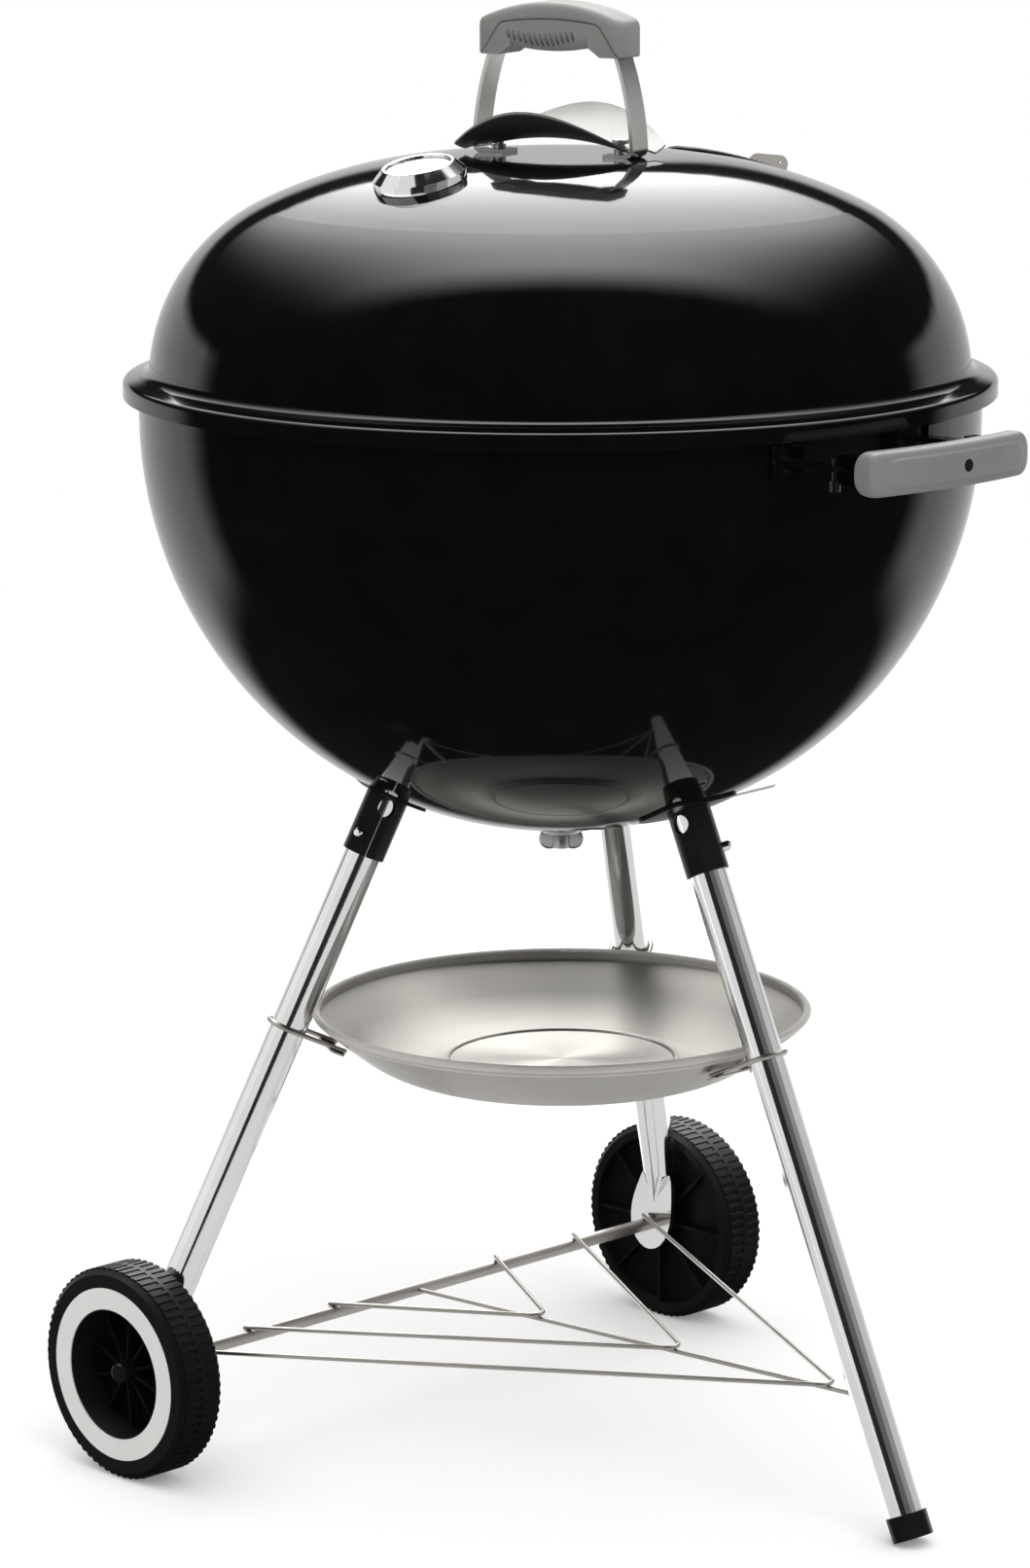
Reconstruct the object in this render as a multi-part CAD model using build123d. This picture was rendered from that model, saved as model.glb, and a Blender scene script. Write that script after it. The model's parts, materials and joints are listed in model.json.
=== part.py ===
"""Kettle charcoal grill on a three-legged stand with two wheels.

Millimetres. The origin is on the floor under the kettle's vertical axis, +Z is up,
the single leg with the foot stands towards -Y and the wheel axle runs along X.
An azimuth is counted from -Y towards +X.
"""
from build123d import *
from math import asin, atan2, cos, degrees, hypot, radians, sin, sqrt, tan
import os

# Bowl
BOWL_RADIUS = 286.0
BOWL_CENTRE_Z = 727.0
BOWL_SKIRT = 19.4
SHEET = 1.6
BEAD_RADIUS = 5.0
VENT_COUNT = 3
VENT_LENGTH = 52.0
VENT_WIDTH = 26.0
VENT_RADIUS = 66.0

# Lid
LID_INSET = 7.0
LID_SEAT = 3.6
LID_HEIGHT = 151.0
LID_KNUCKLE = 132.0
LID_FLAT_RADIUS = 64.0
LIP_GAP = 0.6
LIP_DEPTH = 11.0
FLANGE_RISE = 4.8
FLANGE_FILLET = 3.0
LIP_ROUND = 2.4
FLANGE_SEAT = 1.2

# Lid handle
HANDLE_AZIMUTH = 15.3
GRIP_LENGTH = 114.0
GRIP_WIDTH = 31.0
GRIP_HEIGHT = 103.0
GRIP_CROWN = 13.0
GRIP_DEPTH = 36.0
GRIP_CORNER = 9.0
SEAM_RISE = 24.5
SEAM_CROWN = 3.0
SEAM_INSET = 4.0
SEAM_SLOPE = 15.0
SEAM_ROUND = 9.0
SEAM_GAP = 0.3
INSERT_INSET = 0.8
POST_WIDTH = 18.0
BELLY_HALF = 30.0
BELLY_RISE = 6.2
BELLY_SAG = 3.0
RIB_COUNT = 13
RIB_PITCH = 4.1
RIB_GROOVE = 1.5
RIB_SKEW = 25.0
RIB_FADE = 2.8
STRAP_WIDTH = 21.0
STRAP_THICKNESS = 2.5
STRAP_TOP = 49.0
STRAP_FOOT = 61.0
STRAP_BOW = 58.5
STRAP_FOOT_LENGTH = 22.0
STRAP_TENON = 14.0
STRAP_SLOT = 0.5
HANDLE_BOLT_RADIUS = 3.0
HANDLE_BOLT_SPACING = 94.0

# Heat shield under the lid handle
SHIELD_LENGTH = 134.0
SHIELD_WIDTH = 96.0
SHIELD_END_WIDTH = 52.0
SHIELD_THICKNESS = 1.2
SHIELD_HEIGHT = 11.5
SHIELD_WING = 70.0
SHIELD_ARCH = 223.0

# Thermometer in the lid
THERMO_AZIMUTH = -86.8
THERMO_RADIUS = 136.5
BEZEL_RADIUS = 31.0
BEZEL_WALL_HEIGHT = 9.0
BEZEL_HEIGHT = 15.3
BEZEL_MOUTH = 24.5
DIAL_RADIUS = 27.0
NEEDLE_LENGTH = 18.0
PROBE_RADIUS = 3.0
PROBE_LENGTH = 58.0

# Lid damper
DAMPER_AZIMUTH = 90.0
DAMPER_RADIUS = 165.0
DAMPER_DISC = 44.0
DAMPER_DISH = 560.0
DAMPER_SHEET = 1.2
DAMPER_GAP = 0.5
DAMPER_HOLES = 4
DAMPER_HOLE_RADIUS = 8.5
DAMPER_HOLE_CIRCLE = 23.0
DAMPER_TAB_WIDTH = 37.0
DAMPER_TAB_HEIGHT = 17.0
DAMPER_TAB_ROUND = 7.0
DAMPER_TAB_HOLE = 1.2
RIVET_RADIUS = 3.0

# Hook inside the lid
HOOK_AZIMUTH = 180.0
HOOK_INSET = 47.0
HOOK_WIDTH = 18.0
HOOK_PAD = 30.0
HOOK_REACH = 22.0
HOOK_STEM = 25.0
HOOK_DROP = 37.0
HOOK_LIFT = 9.0

# Legs
FOOT_RADIUS = 332.6
LEG_TILT = 24.24
LEG_SPACING = 120.0
TUBE_RADIUS = 12.7
TUBE_WALL = 1.2
TUBE_TOP_GAP = 3.0
SOCKET_LENGTH = 45.0
SOCKET_WALL = 1.9
SOCKET_CLEARANCE = 0.2
SADDLE_WIDTH = 66.0
SADDLE_LENGTH = 44.0
SADDLE_SHEET = 1.8
WINDOW_RADIUS = 6.5
WINDOW_DROP = 9.0
WINDOW_ANGLE = 82.0
SEAM_WIDTH = 1.4
BUTTON_RADIUS = 3.3
BUTTON_ANGLE = 45.0
BUTTON_DROP = 31.0
BUTTON_PROUD = 6.0
BUTTON_TRAVEL = 5.0
BUTTON_FLANGE = 4.6
CAP_WALL = 1.4
CAP_LENGTH = 17.0
CAP_FLOOR = 4.0
FOOT_FLAT = 1.6

# Wheels and axle
WHEEL_RADIUS = 74.3
WHEEL_WIDTH = 36.5
HUB_GAP = 5.4
HUB_RADIUS = 10.0
HUB_LENGTH = 27.0
AXLE_RADIUS = 3.2
RUNNING_FIT = 0.05
TREAD_DEPTH = 1.5
TREAD_STEP = 0.1
TREAD_COUNT = 72
TREAD_SHOULDER = 3.5
TREAD_RIDGE = 3.0
RING_OUTER = 60.5
RING_INNER = 45.6
RING_SHEET = 0.8
SPOKE_COUNT = 10
INNER_RIB_COUNT = 8
RIB_THICKNESS = 2.0
TAB_THICKNESS = 4.0
TAB_RISE = 42.0
TAB_RADIUS = 19.5
FLARE_LENGTH = 34.0
WHEEL_CAP_RADIUS = 7.5

# Bottom rack
RACK_TUBE_RADIUS = 4.8
RACK_WIRE_RADIUS = 1.6
RACK_FRONT_Z = 92.0
RACK_HALF_WIDTHS = (236.0, 162.0, 81.0)
RACK_VERTEX_Y = (-262.0, -118.0, 15.0)
RACK_BEND = 8.0

# Ash pan and its hooks
PAN_LEG_GAP = 5.1
PAN_RIM_Z = 311.6
PAN_DEPTH = 44.6
PAN_WALL_RUN = 69.3
PAN_SHEET = 1.2
PAN_BEAD = 2.6
PAN_STEP = 5.0
PAN_CONE = 38.0
PAN_PLATEAU_INSET = 10.0
PAN_CONE_RUN = 22.0
PAN_PLATEAU_RISE = 2.5
HOOK_WIRE = 1.7
HOOK_TIP_INSET = 16.3
CLIP_WIDTH = 11.0

# Grates
GRATE_GAP = 12.4
GRATE_DROP = 32.4
GRATE_WIRE = 3.0
GRATE_ROD = 1.9
GRATE_PITCH = 15.0
GRATE_CROSS = (-110.0, 110.0)
GRATE_SIDES = 8
HOOP_CHAMFER = 1.8
ROD_INSET = 0.6
COAL_RADIUS = 216.0
COAL_WIRE = 3.0
COAL_ROD = 2.5
COAL_PITCH = 21.0
COAL_CROSS = (-90.0, 90.0)
SUPPORT_COUNT = 4
SUPPORT_WIDTH = 24.0
SUPPORT_REACH = 20.0
SUPPORT_SHEET = 1.6
SUPPORT_LEAF = 11.0
REST_GAP = 0.3

# Ash cleaner under and inside the bowl
CLEANER_AZIMUTH = 88.0
BLADE_WIDTH = 40.0
BLADE_REACH = 150.0
BLADE_GAP = 1.0
BLADE_SHEET = 1.6
BLADE_HUB = 20.0
SHAFT_RADIUS = 5.0
BUSH_RADIUS = 13.0
BUSH_DROP = 4.0
LEVER_WIDTH = 20.0
LEVER_SHEET = 2.0
LEVER_REACH = 205.0
LEVER_FLAT = 60.0
LEVER_RISE = 5.0
NUT_RADIUS = 7.0
NUT_HEIGHT = 9.0
NUT_EAR = 6.0
NUT_EAR_SHEET = 3.0

# Bowl handle
BAR_LENGTH = 168.0
BAR_STAND = 70.0
BAR_BOW = 16.0
BAR_DEPTH = 19.0
BAR_DROP = 3.4
BAR_HEIGHT = 30.0
BAR_BELLY = 4.0
BAR_ROUND = 4.0
ARM_WIDTH = 19.0
ARM_GAP = 24.0
ARM_TAPER = 4.0
PAD_LENGTH = 142.0
PAD_HEIGHT = 21.0
PAD_PROUD = 0.8
PAD_HOLE_X = 13.5
PAD_HOLE_DROP = 3.0
PAD_HOLE_RADIUS = 4.7
PAD_HOLE_DEPTH = 8.0
BRACKET_WIDTH = 12.0
BRACKET_SHEET = 3.0
BRACKET_TONGUE = 13.0
BRACKET_FOOT = 28.0
BRACKET_CLEARANCE = 0.2
HANDLE_SCREW_RADIUS = 2.2
HANDLE_SCREW_HEAD = 4.2

# Places worked out from the sizes above
BEAD_Z = BOWL_CENTRE_Z + BOWL_SKIRT
BEAD_CENTRE = BOWL_RADIUS - SHEET + BEAD_RADIUS
GRATE_RADIUS = BOWL_RADIUS - SHEET - GRATE_GAP
GRATE_Z = BEAD_Z - GRATE_DROP
LIP_RADIUS = BEAD_CENTRE + BEAD_RADIUS + LIP_GAP + SHEET
LID_WALL = BOWL_RADIUS - LID_INSET
BAR_FACE_Y = BOWL_RADIUS + BAR_STAND
BAR_TOP_Z = BEAD_Z - BAR_DROP
ARM_END_Y = BOWL_RADIUS + ARM_GAP
LID_BASE_Z = BEAD_Z + LID_SEAT
LID_TOP_Z = LID_BASE_Z + LID_HEIGHT
KNUCKLE_CENTRE = LID_WALL - LID_KNUCKLE
CROWN_SPAN = KNUCKLE_CENTRE - LID_FLAT_RADIUS
LID_CROWN = (CROWN_SPAN**2 + LID_HEIGHT**2 - LID_KNUCKLE**2) / (2 * (LID_HEIGHT - LID_KNUCKLE))
CROWN_Z = LID_TOP_Z - LID_CROWN
CROWN_ANGLE = degrees(atan2(LID_BASE_Z - CROWN_Z, CROWN_SPAN))
FLANGE_Z = BEAD_Z + BEAD_RADIUS + FLANGE_SEAT

TILT = radians(LEG_TILT)
LEG_DOT = -FOOT_RADIUS * sin(TILT) - BOWL_CENTRE_Z * cos(TILT)
LEG_REACH = -LEG_DOT - sqrt(LEG_DOT**2 - FOOT_RADIUS**2 - BOWL_CENTRE_Z**2 + BOWL_RADIUS**2)
LEG_TOP = LEG_REACH - TUBE_TOP_GAP
PAN_LEG_RADIUS = FOOT_RADIUS - PAN_RIM_Z * tan(TILT)
PAN_RADIUS = PAN_LEG_RADIUS - TUBE_RADIUS / cos(TILT) - PAN_LEG_GAP
PAN_FLOOR_RADIUS = PAN_RADIUS - PAN_WALL_RUN
HOOK_TIP_RADIUS = PAN_RADIUS - HOOK_TIP_INSET
BUTTON_S = LEG_REACH - BUTTON_DROP
SOCKET_BORE = TUBE_RADIUS + SOCKET_CLEARANCE
SOCKET_RADIUS = SOCKET_BORE + SOCKET_WALL
CAP_RADIUS = TUBE_RADIUS + CAP_WALL
CAP_S = (CAP_RADIUS * sin(TILT) - FOOT_FLAT) / cos(TILT)

AXLE_Z = WHEEL_RADIUS
TAB_Z = AXLE_Z + TAB_RISE
TAB_LEG_RADIUS = FOOT_RADIUS - TAB_Z * tan(TILT)
TAB_X = TAB_LEG_RADIUS * sin(radians(LEG_SPACING))
TAB_Y = -TAB_LEG_RADIUS * cos(radians(LEG_SPACING))
AXLE_Y = -(FOOT_RADIUS - AXLE_Z * tan(TILT)) * cos(radians(LEG_SPACING))
WHEEL_X = TAB_X + TAB_THICKNESS / 2 + HUB_GAP
CAP_GAP = 0.4
WHEEL_CAP_LENGTH = 7.0
AXLE_HALF = WHEEL_X + HUB_LENGTH + CAP_GAP + WHEEL_CAP_LENGTH - 2.0

LEGS = {"front": 0.0, "right": LEG_SPACING, "left": -LEG_SPACING}
SIDES = {"left": -1, "right": 1}


def rz(radius, z):
    """A point of a profile: a distance from the axis and a height."""
    return (radius, 0, z)


def profile_arc(radius, z, size, start, end):
    """An arc of a profile about (radius, z), between two angles counted from the outward level."""
    points = []
    for angle in (start, (start + end) / 2, end):
        points.append(rz(radius + size * cos(radians(angle)), z + size * sin(radians(angle))))
    return ThreePointArc(*points)


def profile_lines(*points):
    """Straight runs of a profile through the points."""
    return [Line(a, b) for a, b in zip(points, points[1:])]


def turned(edges):
    """The solid that a closed profile sweeps about the vertical axis."""
    return revolve(make_face(edges), Axis.Z)


def ring(radius, wire, z):
    """A round wire bent to a level ring."""
    return Pos(0, 0, z) * Torus(radius, wire)


def rod(start, end, radius):
    """A straight round rod between two points."""
    path = Line(start, end)
    return sweep((path ^ 0) * Circle(radius), path=path)


def round_bar(radius, low, high):
    """A round bar on the local Z axis between two heights."""
    return Pos(0, 0, (low + high) / 2) * Cylinder(radius, high - low)


def pipe(outer, inner, low, high):
    """A pipe on the local Z axis."""
    return round_bar(outer, low, high) - round_bar(inner, low - 1, high + 1)


def about(shape, azimuth):
    """Turns a shape built at the front to an azimuth."""
    return Rot(0, 0, azimuth) * shape


# The local Z axis runs up a leg, its X axis points away from the kettle and its origin is on the floor.
LEG_FRAME = Plane(
    origin=(0, -FOOT_RADIUS, 0),
    x_dir=(0, -cos(TILT), sin(TILT)),
    z_dir=(0, sin(TILT), cos(TILT)),
).location


def on_leg(shape, azimuth=0.0):
    """Places a shape built along the local leg axis."""
    return about(LEG_FRAME * shape, azimuth)


def dome_frame(radius, azimuth):
    """The place on the lid's crown at a distance from the axis, with Z along the surface normal."""
    lean = asin((radius - LID_FLAT_RADIUS) / LID_CROWN)
    z = CROWN_Z + LID_CROWN * cos(lean)
    plane = Plane(
        origin=(0, -radius, z),
        x_dir=(0, -cos(lean), -sin(lean)),
        z_dir=(0, -sin(lean), cos(lean)),
    )
    return Rot(0, 0, azimuth) * plane.location


THERMO_FRAME = dome_frame(THERMO_RADIUS, THERMO_AZIMUTH)
DAMPER_FRAME = dome_frame(DAMPER_RADIUS, DAMPER_AZIMUTH)
HANDLE_FRAME = Location((0, 0, LID_TOP_Z), (0, 0, HANDLE_AZIMUTH - 90))


# Bowl and what is fixed to it

def bowl_envelope(offset):
    """The bowl's outside as a solid, grown by an offset, up to the bead."""
    size = BOWL_RADIUS + offset
    edges = [profile_arc(0, BOWL_CENTRE_Z, size, -90, 0)]
    edges += profile_lines(
        rz(size, BOWL_CENTRE_Z),
        rz(size, BEAD_Z),
        rz(0, BEAD_Z),
        rz(0, BOWL_CENTRE_Z - size),
    )
    return turned(edges)


def bowl():
    """Deep-drawn bowl with a rolled bead, bottom vents and a hole for the cleaner's shaft."""
    shell = bowl_envelope(0) - bowl_envelope(-SHEET)
    shell += ring(BEAD_CENTRE, BEAD_RADIUS, BEAD_Z)
    depth = BOWL_RADIUS
    vent = extrude(Pos(0, -VENT_RADIUS) * Rot(0, 0, 90) * SlotOverall(VENT_LENGTH, VENT_WIDTH), BOWL_CENTRE_Z)
    for index in range(VENT_COUNT):
        shell -= about(vent, CLEANER_AZIMUTH + index * 360 / VENT_COUNT)
    shell -= Pos(0, 0, BOWL_CENTRE_Z - depth) * Cylinder(SHAFT_RADIUS + RUNNING_FIT, depth / 4)
    return shell


def leg_socket(azimuth):
    """Sheet socket wrapped round the leg, with a saddle that follows the bowl, a seam and two windows."""
    low = LEG_REACH - SOCKET_LENGTH
    sleeve = pipe(SOCKET_RADIUS, SOCKET_BORE, low, LEG_REACH + SADDLE_LENGTH / 2)
    plate = Pos(0, 0, LEG_REACH - SADDLE_LENGTH / 2) * extrude(
        RectangleRounded(SADDLE_LENGTH, SADDLE_WIDTH, SADDLE_LENGTH / 4), SADDLE_LENGTH)
    plate -= round_bar(SOCKET_BORE, low, LEG_REACH + SADDLE_LENGTH)
    saddle = on_leg(plate) & bowl_envelope(SADDLE_SHEET)
    socket = on_leg(sleeve) + saddle - bowl_envelope(0)
    window_s = LEG_REACH - WINDOW_DROP
    for side in (-1, 1):
        window = Rot(0, 0, side * WINDOW_ANGLE) * Pos(SOCKET_RADIUS, 0, window_s) * Rot(0, 90, 0)
        socket -= on_leg(window * Cylinder(WINDOW_RADIUS, SOCKET_RADIUS))
    seam = Box(SOCKET_RADIUS, SEAM_WIDTH, window_s - low + 2)
    socket -= on_leg(Rot(0, 0, WINDOW_ANGLE) * Pos(SOCKET_RADIUS, 0, (window_s + low) / 2 - 1) * seam)
    socket -= on_leg(button_hole(SOCKET_CLEARANCE))
    return about(socket, azimuth)


def button_hole(clearance):
    """The cross hole for a leg's snap button."""
    length = SOCKET_RADIUS + BUTTON_PROUD
    return (
        Rot(0, 0, BUTTON_ANGLE) * Pos(length / 2, 0, BUTTON_S) * Rot(0, 90, 0)
        * Cylinder(BUTTON_RADIUS + clearance, length)
    )


def leg_tube(low):
    """A straight leg tube up to the bowl, with its button hole."""
    tube = pipe(TUBE_RADIUS, TUBE_RADIUS - TUBE_WALL, low, LEG_TOP)
    return tube - button_hole(SOCKET_CLEARANCE)


def leg_front():
    """Front leg: a tube down to the foot cap, with a hole for the rack's spine."""
    leg = on_leg(leg_tube(CAP_S + CAP_FLOOR))
    start, end = rack_spine_ends()
    return leg - rod(start, end, RACK_WIRE_RADIUS + SOCKET_CLEARANCE)


def leg_wheeled(side):
    """Wheel leg: a tube pressed flat at its lower end into an upright tab for the axle."""
    azimuth = side * LEG_SPACING
    flare_top = (TAB_Z + FLARE_LENGTH) / cos(TILT)
    leg = on_leg(leg_tube(flare_top), azimuth)
    radius = FOOT_RADIUS - flare_top * sin(TILT)
    turn = radians(azimuth)
    centre = (radius * sin(turn), -radius * cos(turn), flare_top * cos(TILT))
    down = (sin(TILT) * sin(turn), -sin(TILT) * cos(turn), -cos(TILT))
    round_end = Plane(origin=centre, x_dir=(0, 1, down[1] / cos(TILT)), z_dir=down)
    flat_end = Plane(origin=(side * TAB_X, TAB_Y, TAB_Z), x_dir=(0, 1, 0), z_dir=(0, 0, -1))
    throat = Circle(TUBE_RADIUS)
    blade = Ellipse(TAB_RADIUS, TAB_THICKNESS / 2)
    leg += loft([round_end * throat, flat_end * blade])
    run = hypot(TAB_Y - AXLE_Y, TAB_RISE)
    middle = ((TAB_Y + AXLE_Y) / 2, (TAB_Z + AXLE_Z) / 2)
    lean = degrees(atan2(TAB_RISE, TAB_Y - AXLE_Y))
    shape = Pos(*middle) * Rot(0, 0, lean) * SlotCenterToCenter(run, 2 * TAB_RADIUS)
    tab = extrude(Plane.YZ * shape, TAB_THICKNESS / 2, both=True)
    leg += Pos(side * TAB_X, 0, 0) * tab
    return leg - axle_bar(AXLE_RADIUS + SOCKET_CLEARANCE)


def foot_cap():
    """Moulded cap on the front leg, with a flat that rests on the floor."""
    cap = round_bar(CAP_RADIUS, CAP_S, CAP_S + CAP_LENGTH)
    cap = fillet(cap.edges().group_by(Axis.Z)[0], CAP_WALL * 0.7)
    cap = fillet(cap.edges().group_by(Axis.Z)[-1], CAP_WALL * 0.4)
    cap -= round_bar(TUBE_RADIUS, CAP_S + CAP_FLOOR, CAP_S + CAP_LENGTH + 1)
    floor = Pos(0, -FOOT_RADIUS, -CAP_LENGTH) * Box(4 * CAP_RADIUS, 6 * CAP_RADIUS, 2 * CAP_LENGTH)
    return on_leg(cap) - floor


def leg_button():
    """Snap button: a domed pin with an inner flange and the end of its spring leaf."""
    tip = SOCKET_RADIUS + BUTTON_PROUD
    seat = TUBE_RADIUS - TUBE_WALL - 1.2
    pin = round_bar(BUTTON_RADIUS, seat - 2, tip)
    pin = fillet(pin.edges().group_by(Axis.Z)[-1], BUTTON_RADIUS * 0.8)
    pin += round_bar(BUTTON_FLANGE, seat - 1.6, seat - 0.4)
    return Rot(0, 0, BUTTON_ANGLE) * Pos(0, 0, BUTTON_S) * Rot(0, 90, 0) * pin


def button_spring():
    """Leaf spring inside the tube, bent to a hairpin below the button."""
    wall = TUBE_RADIUS - TUBE_WALL - 3.6
    leaf = Line((-wall, 9), (-wall, -22)) + ThreePointArc((-wall, -22), (-wall / 2, -27), (0, -24))
    sheet = extrude(Plane.XZ * trace(leaf, 0.9), 3.5, both=True)
    return Rot(0, 0, BUTTON_ANGLE) * Pos(0, 0, BUTTON_S) * sheet


def grate_supports():
    """Angle brackets welded inside the bowl that carry the cooking grate."""
    wall = BOWL_RADIUS - SHEET
    shelf_top = GRATE_Z - GRATE_WIRE - REST_GAP
    block = Pos(0, -wall, shelf_top - SUPPORT_LEAF / 2)
    block *= Box(SUPPORT_WIDTH, 2 * SUPPORT_REACH, SUPPORT_LEAF)
    leaf_low = shelf_top - SUPPORT_LEAF
    leaf = pipe(wall, wall - SUPPORT_SHEET, leaf_low, shelf_top)
    shelf = pipe(wall, wall - SUPPORT_REACH, shelf_top - SUPPORT_SHEET, shelf_top)
    bracket = (leaf + shelf) & block & bowl_envelope(-SHEET)
    return [about(bracket, 45 + index * 360 / SUPPORT_COUNT) for index in range(SUPPORT_COUNT)]


def handle_bar_outline(proud=0.0):
    """Plan of the bowl handle: a bowed bar with two arms that reach back to the bowl."""
    half = BAR_LENGTH / 2
    face = BAR_FACE_Y + proud
    inner = half - ARM_WIDTH
    back = BAR_FACE_Y - BAR_BOW - BAR_DEPTH
    outline = [
        ThreePointArc((-half, -face + BAR_BOW), (0, -face), (half, -face + BAR_BOW)),
        *profile_lines(
            (half, -face + BAR_BOW),
            (half - ARM_TAPER, -ARM_END_Y),
            (inner - ARM_TAPER, -ARM_END_Y),
            (inner, -back),
        ),
        ThreePointArc((inner, -back), (0, -face + BAR_DEPTH), (-inner, -back)),
        *profile_lines(
            (-inner, -back),
            (ARM_TAPER - inner, -ARM_END_Y),
            (ARM_TAPER - half, -ARM_END_Y),
            (-half, -face + BAR_BOW),
        ),
    ]
    face = make_face(outline)
    return fillet(face.vertices().group_by(Axis.Y)[1], 2 * BAR_ROUND)


def handle_bar_front():
    """Front view of the bowl handle: a level top and a belly."""
    half = BAR_LENGTH / 2
    low = BAR_TOP_Z - BAR_HEIGHT
    outline = [
        ThreePointArc((-half, low + BAR_BELLY), (0, low), (half, low + BAR_BELLY)),
        *profile_lines((half, low + BAR_BELLY), (half, BAR_TOP_Z - BAR_BELLY / 2)),
        ThreePointArc((half, BAR_TOP_Z - BAR_BELLY / 2), (0, BAR_TOP_Z), (-half, BAR_TOP_Z - BAR_BELLY / 2)),
        *profile_lines((-half, BAR_TOP_Z - BAR_BELLY / 2), (-half, low + BAR_BELLY)),
    ]
    return make_face(outline)


def bracket_places():
    """The two places across the handle where its brackets stand, and the brackets' middle height."""
    x = BAR_LENGTH / 2 - ARM_TAPER - ARM_WIDTH / 2
    return (-x, x), BAR_TOP_Z - BAR_HEIGHT / 2


def bowl_handle():
    """Moulded bowl handle with a raised oval face, a hanging hole and slots for its brackets."""
    plan = extrude(handle_bar_outline(), BAR_TOP_Z)
    front = extrude(Plane.XZ * handle_bar_front(), BAR_FACE_Y)
    bar = plan & front
    face = bar.faces().filter_by(GeomType.CYLINDER).sort_by(Axis.Y)[0]
    bar = fillet(face.edges().filter_by(GeomType.LINE, reverse=True), BAR_ROUND)
    xs, middle = bracket_places()
    pad = Plane.XZ * Pos(0, middle - BAR_BELLY / 4) * SlotOverall(PAD_LENGTH, PAD_HEIGHT)
    band = extrude(handle_bar_outline(PAD_PROUD), BAR_TOP_Z)
    bar += (extrude(pad, BAR_FACE_Y + PAD_PROUD) & band)
    hole = Pos(PAD_HOLE_X, -BAR_FACE_Y, middle - PAD_HOLE_DROP) * Rot(90, 0, 0)
    bar -= hole * Cylinder(PAD_HOLE_RADIUS, 2 * PAD_HOLE_DEPTH)
    for x in xs:
        reach = BRACKET_TONGUE + BRACKET_CLEARANCE
        slot = Box(BRACKET_WIDTH + 2 * BRACKET_CLEARANCE, 2 * reach, BRACKET_SHEET + 2 * BRACKET_CLEARANCE)
        bar -= Pos(x, -ARM_END_Y, middle) * slot
        bar -= handle_screw(x, BRACKET_CLEARANCE)
    return bar


def handle_screw(x, clearance=0.0):
    """A screw up through a handle arm and its bracket."""
    middle = bracket_places()[1]
    low = BAR_TOP_Z - BAR_HEIGHT
    y = -ARM_END_Y - BRACKET_TONGUE / 2
    shank = round_bar(HANDLE_SCREW_RADIUS + clearance, low, middle + BRACKET_SHEET + 3 + clearance)
    head = round_bar(HANDLE_SCREW_HEAD + clearance, low, low + BAR_BELLY + 3)
    return Pos(x, y, 0) * (shank + head)


def bowl_handle_brackets():
    """Steel brackets that stand out of the bowl: a foot that follows the wall and a tongue."""
    xs, middle = bracket_places()
    brackets = []
    for x in xs:
        foot = Pos(x, -BOWL_RADIUS, middle) * Box(BRACKET_FOOT, BOWL_RADIUS / 2, BRACKET_FOOT * 0.8)
        foot &= bowl_envelope(BRACKET_SHEET)
        inner = BOWL_RADIUS * 0.9
        outer = ARM_END_Y + BRACKET_TONGUE
        tongue = Pos(x, -(inner + outer) / 2, middle) * Box(BRACKET_WIDTH, outer - inner, BRACKET_SHEET)
        bracket = foot + tongue - bowl_envelope(0) - handle_screw(x, BRACKET_CLEARANCE)
        brackets.append(bracket)
    return brackets


# Cleaner

CLEANER_Z = BOWL_CENTRE_Z - BOWL_RADIUS


def cleaner_bush():
    """Flanged bush under the bowl that guides the cleaner's shaft."""
    bush = round_bar(BUSH_RADIUS, CLEANER_Z - BUSH_DROP, CLEANER_Z + BUSH_DROP)
    bush -= bowl_envelope(0)
    return bush - round_bar(SHAFT_RADIUS + RUNNING_FIT, CLEANER_Z - 2 * BUSH_DROP, CLEANER_Z + 2 * BUSH_DROP)


def cleaner_blades():
    """Three sweeping blades on a round centre, pressed to the curve of the bowl."""
    outer = BOWL_RADIUS - SHEET - BLADE_GAP
    plan = Circle(BLADE_HUB)
    for index in range(VENT_COUNT):
        arm = Pos(0, -BLADE_REACH / 2) * Rot(0, 0, 90) * SlotOverall(BLADE_REACH + BLADE_WIDTH / 2, BLADE_WIDTH)
        plan += Rot(0, 0, CLEANER_AZIMUTH + index * 360 / VENT_COUNT) * arm
    plan -= Circle(SHAFT_RADIUS)
    column = extrude(Pos(0, 0, CLEANER_Z) * plan, BOWL_RADIUS / 2)
    shell = Sphere(outer) - Sphere(outer - BLADE_SHEET)
    return (Pos(0, 0, BOWL_CENTRE_Z) * shell) & column


def cleaner_shaft():
    """Shaft through the bowl with a collar that holds the blades."""
    blade_z = CLEANER_Z + SHEET + BLADE_GAP + BLADE_SHEET
    shaft = round_bar(SHAFT_RADIUS, CLEANER_Z - BUSH_DROP - LEVER_SHEET - NUT_HEIGHT, blade_z + 8)
    collar = round_bar(BLADE_HUB * 0.6, blade_z + 0.8, blade_z + 8)
    return shaft + fillet(collar.edges().group_by(Axis.Z)[-1], 2.5)


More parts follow.
